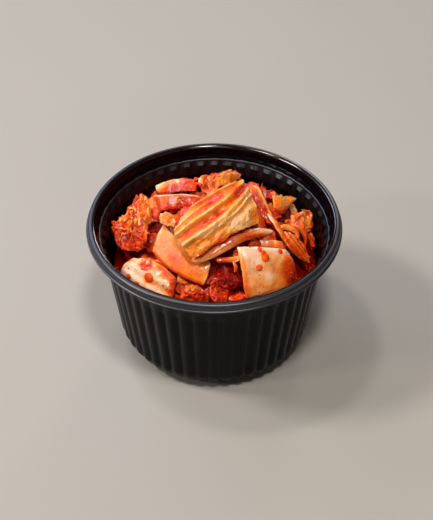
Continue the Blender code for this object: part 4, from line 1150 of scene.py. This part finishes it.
# %% Scatter tree
def scatter_tree(name):
    """Strew one shape over the upward faces of a surface, in proportion to its weight."""
    tree = bpy.data.node_groups.new(name, "GeometryNodeTree")
    sockets = [("Surface", "Geometry"), ("Shape", "Object"), ("Per square metre", "Float"),
               ("Least size", "Float"), ("Greatest size", "Float"), ("Seed", "Int"), ("Finish", "Material")]
    for label, kind in sockets:
        tree.interface.new_socket(label, in_out="INPUT", socket_type="NodeSocket" + kind)
    tree.interface.new_socket("Strewn", in_out="OUTPUT", socket_type="NodeSocketGeometry")
    given = add(tree, "NodeGroupInput").outputs
    weight = add(tree, "GeometryNodeInputNamedAttribute", {"Name": "strew"}, data_type="FLOAT")
    facing = add(tree, "GeometryNodeInputNormal")
    parts = add(tree, "ShaderNodeSeparateXYZ", {"Vector": facing.outputs[0]})
    upward = add(tree, "ShaderNodeMapRange", {"Value": parts.outputs["Z"], "From Min": -0.1, "From Max": 0.4})
    wanted = add(tree, "ShaderNodeMath", {0: weight.outputs["Attribute"], 1: upward.outputs["Result"]},
                 operation="MULTIPLY")
    density = add(tree, "ShaderNodeMath", {0: wanted.outputs[0], 1: given["Per square metre"]},
                  operation="MULTIPLY")
    spots = add(tree, "GeometryNodeDistributePointsOnFaces", {
        "Mesh": given["Surface"], "Density": density.outputs[0], "Seed": given["Seed"]})
    turn = add(tree, "FunctionNodeRandomValue", {
        0: (0.0, 0.0, 0.0), 1: (6.28, 6.28, 6.28), "Seed": given["Seed"]}, data_type="FLOAT_VECTOR")
    lean = add(tree, "FunctionNodeAlignRotationToVector", {
        "Rotation": turn.outputs[0], "Vector": spots.outputs["Normal"], "Factor": 0.35})
    size = add(tree, "FunctionNodeRandomValue", {
        2: given["Least size"], 3: given["Greatest size"], "Seed": given["Seed"]}, data_type="FLOAT")
    shape = add(tree, "GeometryNodeObjectInfo", {"Object": given["Shape"]})
    strewn = add(tree, "GeometryNodeInstanceOnPoints", {
        "Points": spots.outputs["Points"], "Instance": shape.outputs["Geometry"],
        "Rotation": lean.outputs[0], "Scale": size.outputs[1]})
    real = add(tree, "GeometryNodeRealizeInstances", {0: strewn.outputs[0]})
    finished = add(tree, "GeometryNodeSetMaterial", {0: real.outputs[0], "Material": given["Finish"]})
    add(tree, "NodeGroupOutput", {0: finished.outputs[0]})
    return tree


def strew(name, surface, tree, choices):
    """Run the scatter tree on a surface and keep the result as a plain mesh piece."""
    modifier = surface.modifiers.new(name, "NODES")
    modifier.node_group = tree
    for item in tree.interface.items_tree:
        if item.in_out == "INPUT" and item.name in choices:
            modifier[item.identifier] = choices[item.name]
    surface.update_tag()
    graph = bpy.context.evaluated_depsgraph_get()
    mesh = bpy.data.meshes.new_from_object(surface.evaluated_get(graph))
    surface.modifiers.remove(modifier)
    piece = bpy.data.objects.new(name, mesh)
    bpy.context.collection.objects.link(piece)
    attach(piece, "root")
    print(name, len(mesh.polygons), "faces")


# %% Where chili and oil lie
# A smooth cut keeps less of the chili than its paste would hold: the share that each keeps.
SPARSE = {
    "square_stem": 0.3, "glossy_stem": 0.5, "wedge_leaf": 0.4, "dangling_leaf": 0.5, "folded_stem": 0.6}
CLUMP = 6.0


def stored(obj, key):
    """The numbers kept on an object's points, and the points in millimetres."""
    values = np.empty(len(obj.data.vertices), dtype=np.float32)
    obj.data.attributes[key].data.foreach_get("value", values)
    spots = np.empty(3 * len(obj.data.vertices))
    obj.data.vertices.foreach_get("co", spots)
    return values, spots.reshape(-1, 3) / MM


def paste_weight(obj):
    """Chili clings in clumps where the paste is."""
    values, spots = stored(obj, "open" if obj is core else "sauce")
    values = values * SPARSE.get(obj.name.removesuffix("_cut"), 1.0)
    clumps = 0.25 + 0.75 * ease(-0.25, 0.35, noise(spots, CLUMP, 77))
    return (clumps * ease(0.3, 0.8, values)).tolist()


def bare_weight(obj):
    """Drops of oil stand on the cleaner skin."""
    if obj is core:
        return [0.0] * len(obj.data.vertices)
    values, _ = stored(obj, "sauce")
    return (1.0 - ease(0.2, 0.6, values)).tolist()


def strewing_ground(objects, weight):
    """A plain copy of several pieces, with how much is strewn on each point."""
    points, faces = gathered(objects)
    strewn = [share for obj in objects for share in weight(obj)]
    return make_object("strewing_ground", points, faces, flake, {"strew": np.array(strewn)})


# %% Strew the chili and the oil
food = [core, *large.values(), *small.values()]
tree = scatter_tree("strew_over_surface")
chip = pebble("chip", (1.0, 0.8, 0.55), 0.3, 4, 1, flake)
bead = pebble("bead", (1.0, 0.95, 0.5), 0.06, 6, 2, oil)
ground = strewing_ground(food, paste_weight)
strew("chili_flakes", ground, tree, {
    "Shape": chip, "Per square metre": 400000.0, "Least size": 0.22, "Greatest size": 0.75, "Seed": 5,
    "Finish": flake})
bpy.data.objects.remove(ground)
ground = strewing_ground(food, bare_weight)
strew("oil_beads", ground, tree, {
    "Shape": bead, "Per square metre": 22000.0, "Least size": 0.25, "Greatest size": 0.6, "Seed": 9,
    "Finish": oil})
for helper in (chip, bead, ground):
    bpy.data.objects.remove(helper)

# %% [markdown]
# The few large drops are too well placed for a scatter, so they are set one by one on the two
# big ribs and the pleated leaf, at a place along and across each. A drop is a flattened ball
# that is a little uneven and turned to the piece it lies on.

# %% Large drops
# Each drop: its place along and across the piece from -1 to 1, its width and its length.
DROPS = {
    "square_stem": [
        (-0.82, -0.2, 1.2, 1.3), (-0.6, -0.12, 1.5, 1.6), (-0.42, -0.14, 1.9, 2.0),
        (-0.05, -0.42, 1.6, 1.6), (-0.75, 0.6, 1.2, 1.3), (-0.4, 0.74, 1.5, 1.5)],
    "glossy_stem": [
        (0.05, 0.0, 2.3, 2.6), (-0.25, -0.78, 2.0, 1.6), (-0.55, 0.55, 1.3, 1.6),
        (-0.25, 0.75, 1.3, 1.8), (0.3, 0.8, 1.4, 1.6)],
    "pleated_leaf": [(0.15, 0.15, 0.8, 0.8), (-0.7, -0.2, 0.8, 0.9), (0.5, 0.55, 0.6, 0.5)],
}
DROP_TURNS = 20
DROP_ROWS = 9
DROP_FLATNESS = 0.32


def drop(cut, at_u, at_v, wide, long):
    """Points of a flattened drop on the upper face of a cut piece, with its radii given."""
    nearest = int(np.argmin((cut["u"] - at_u) ** 2 + (cut["v"] - at_v) ** 2))
    two_rows = 2 * cut["row"]
    spots = cut["points"]
    middle = spots[nearest]
    ahead = spots[min(nearest + two_rows, len(cut["u"]) - 1)] - spots[max(nearest - two_rows, 0)]
    aside = spots[nearest + 2] - spots[nearest - 2]
    up = np.cross(ahead, aside)
    up *= np.sign(up[2]) / np.linalg.norm(up)
    ahead /= np.linalg.norm(ahead)
    aside = np.cross(up, ahead)
    tall = DROP_FLATNESS * wide
    turns, rows = np.meshgrid(np.arange(DROP_TURNS) * math.pi / (0.5 * DROP_TURNS),
                              np.linspace(0.0, math.pi, DROP_ROWS + 2)[1:-1], indexing="xy")
    shape = np.stack([long * np.sin(rows) * np.cos(turns), wide * np.sin(rows) * np.sin(turns),
                      tall * np.cos(rows)], -1).reshape(-1, 3)
    shape = np.vstack([shape, [[0.0, 0.0, tall], [0.0, 0.0, -tall]]])
    shape *= 1.0 + 0.12 * noise(shape + middle, 1.6, 5)[:, None]
    return middle + shape @ np.stack([ahead, aside, up])


drop_points = []
drop_faces = []
for name, places in DROPS.items():
    for place in places:
        first = len(drop_points)
        drop_points += drop(cuts[name], *place).tolist()
        drop_faces += [[first + k for k in face] for face in closed_faces(DROP_ROWS, DROP_TURNS)]
drops = make_object("large_drops", drop_points, drop_faces, oil)
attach(drops, "root")
print("drops:", sum(len(places) for places in DROPS.values()))
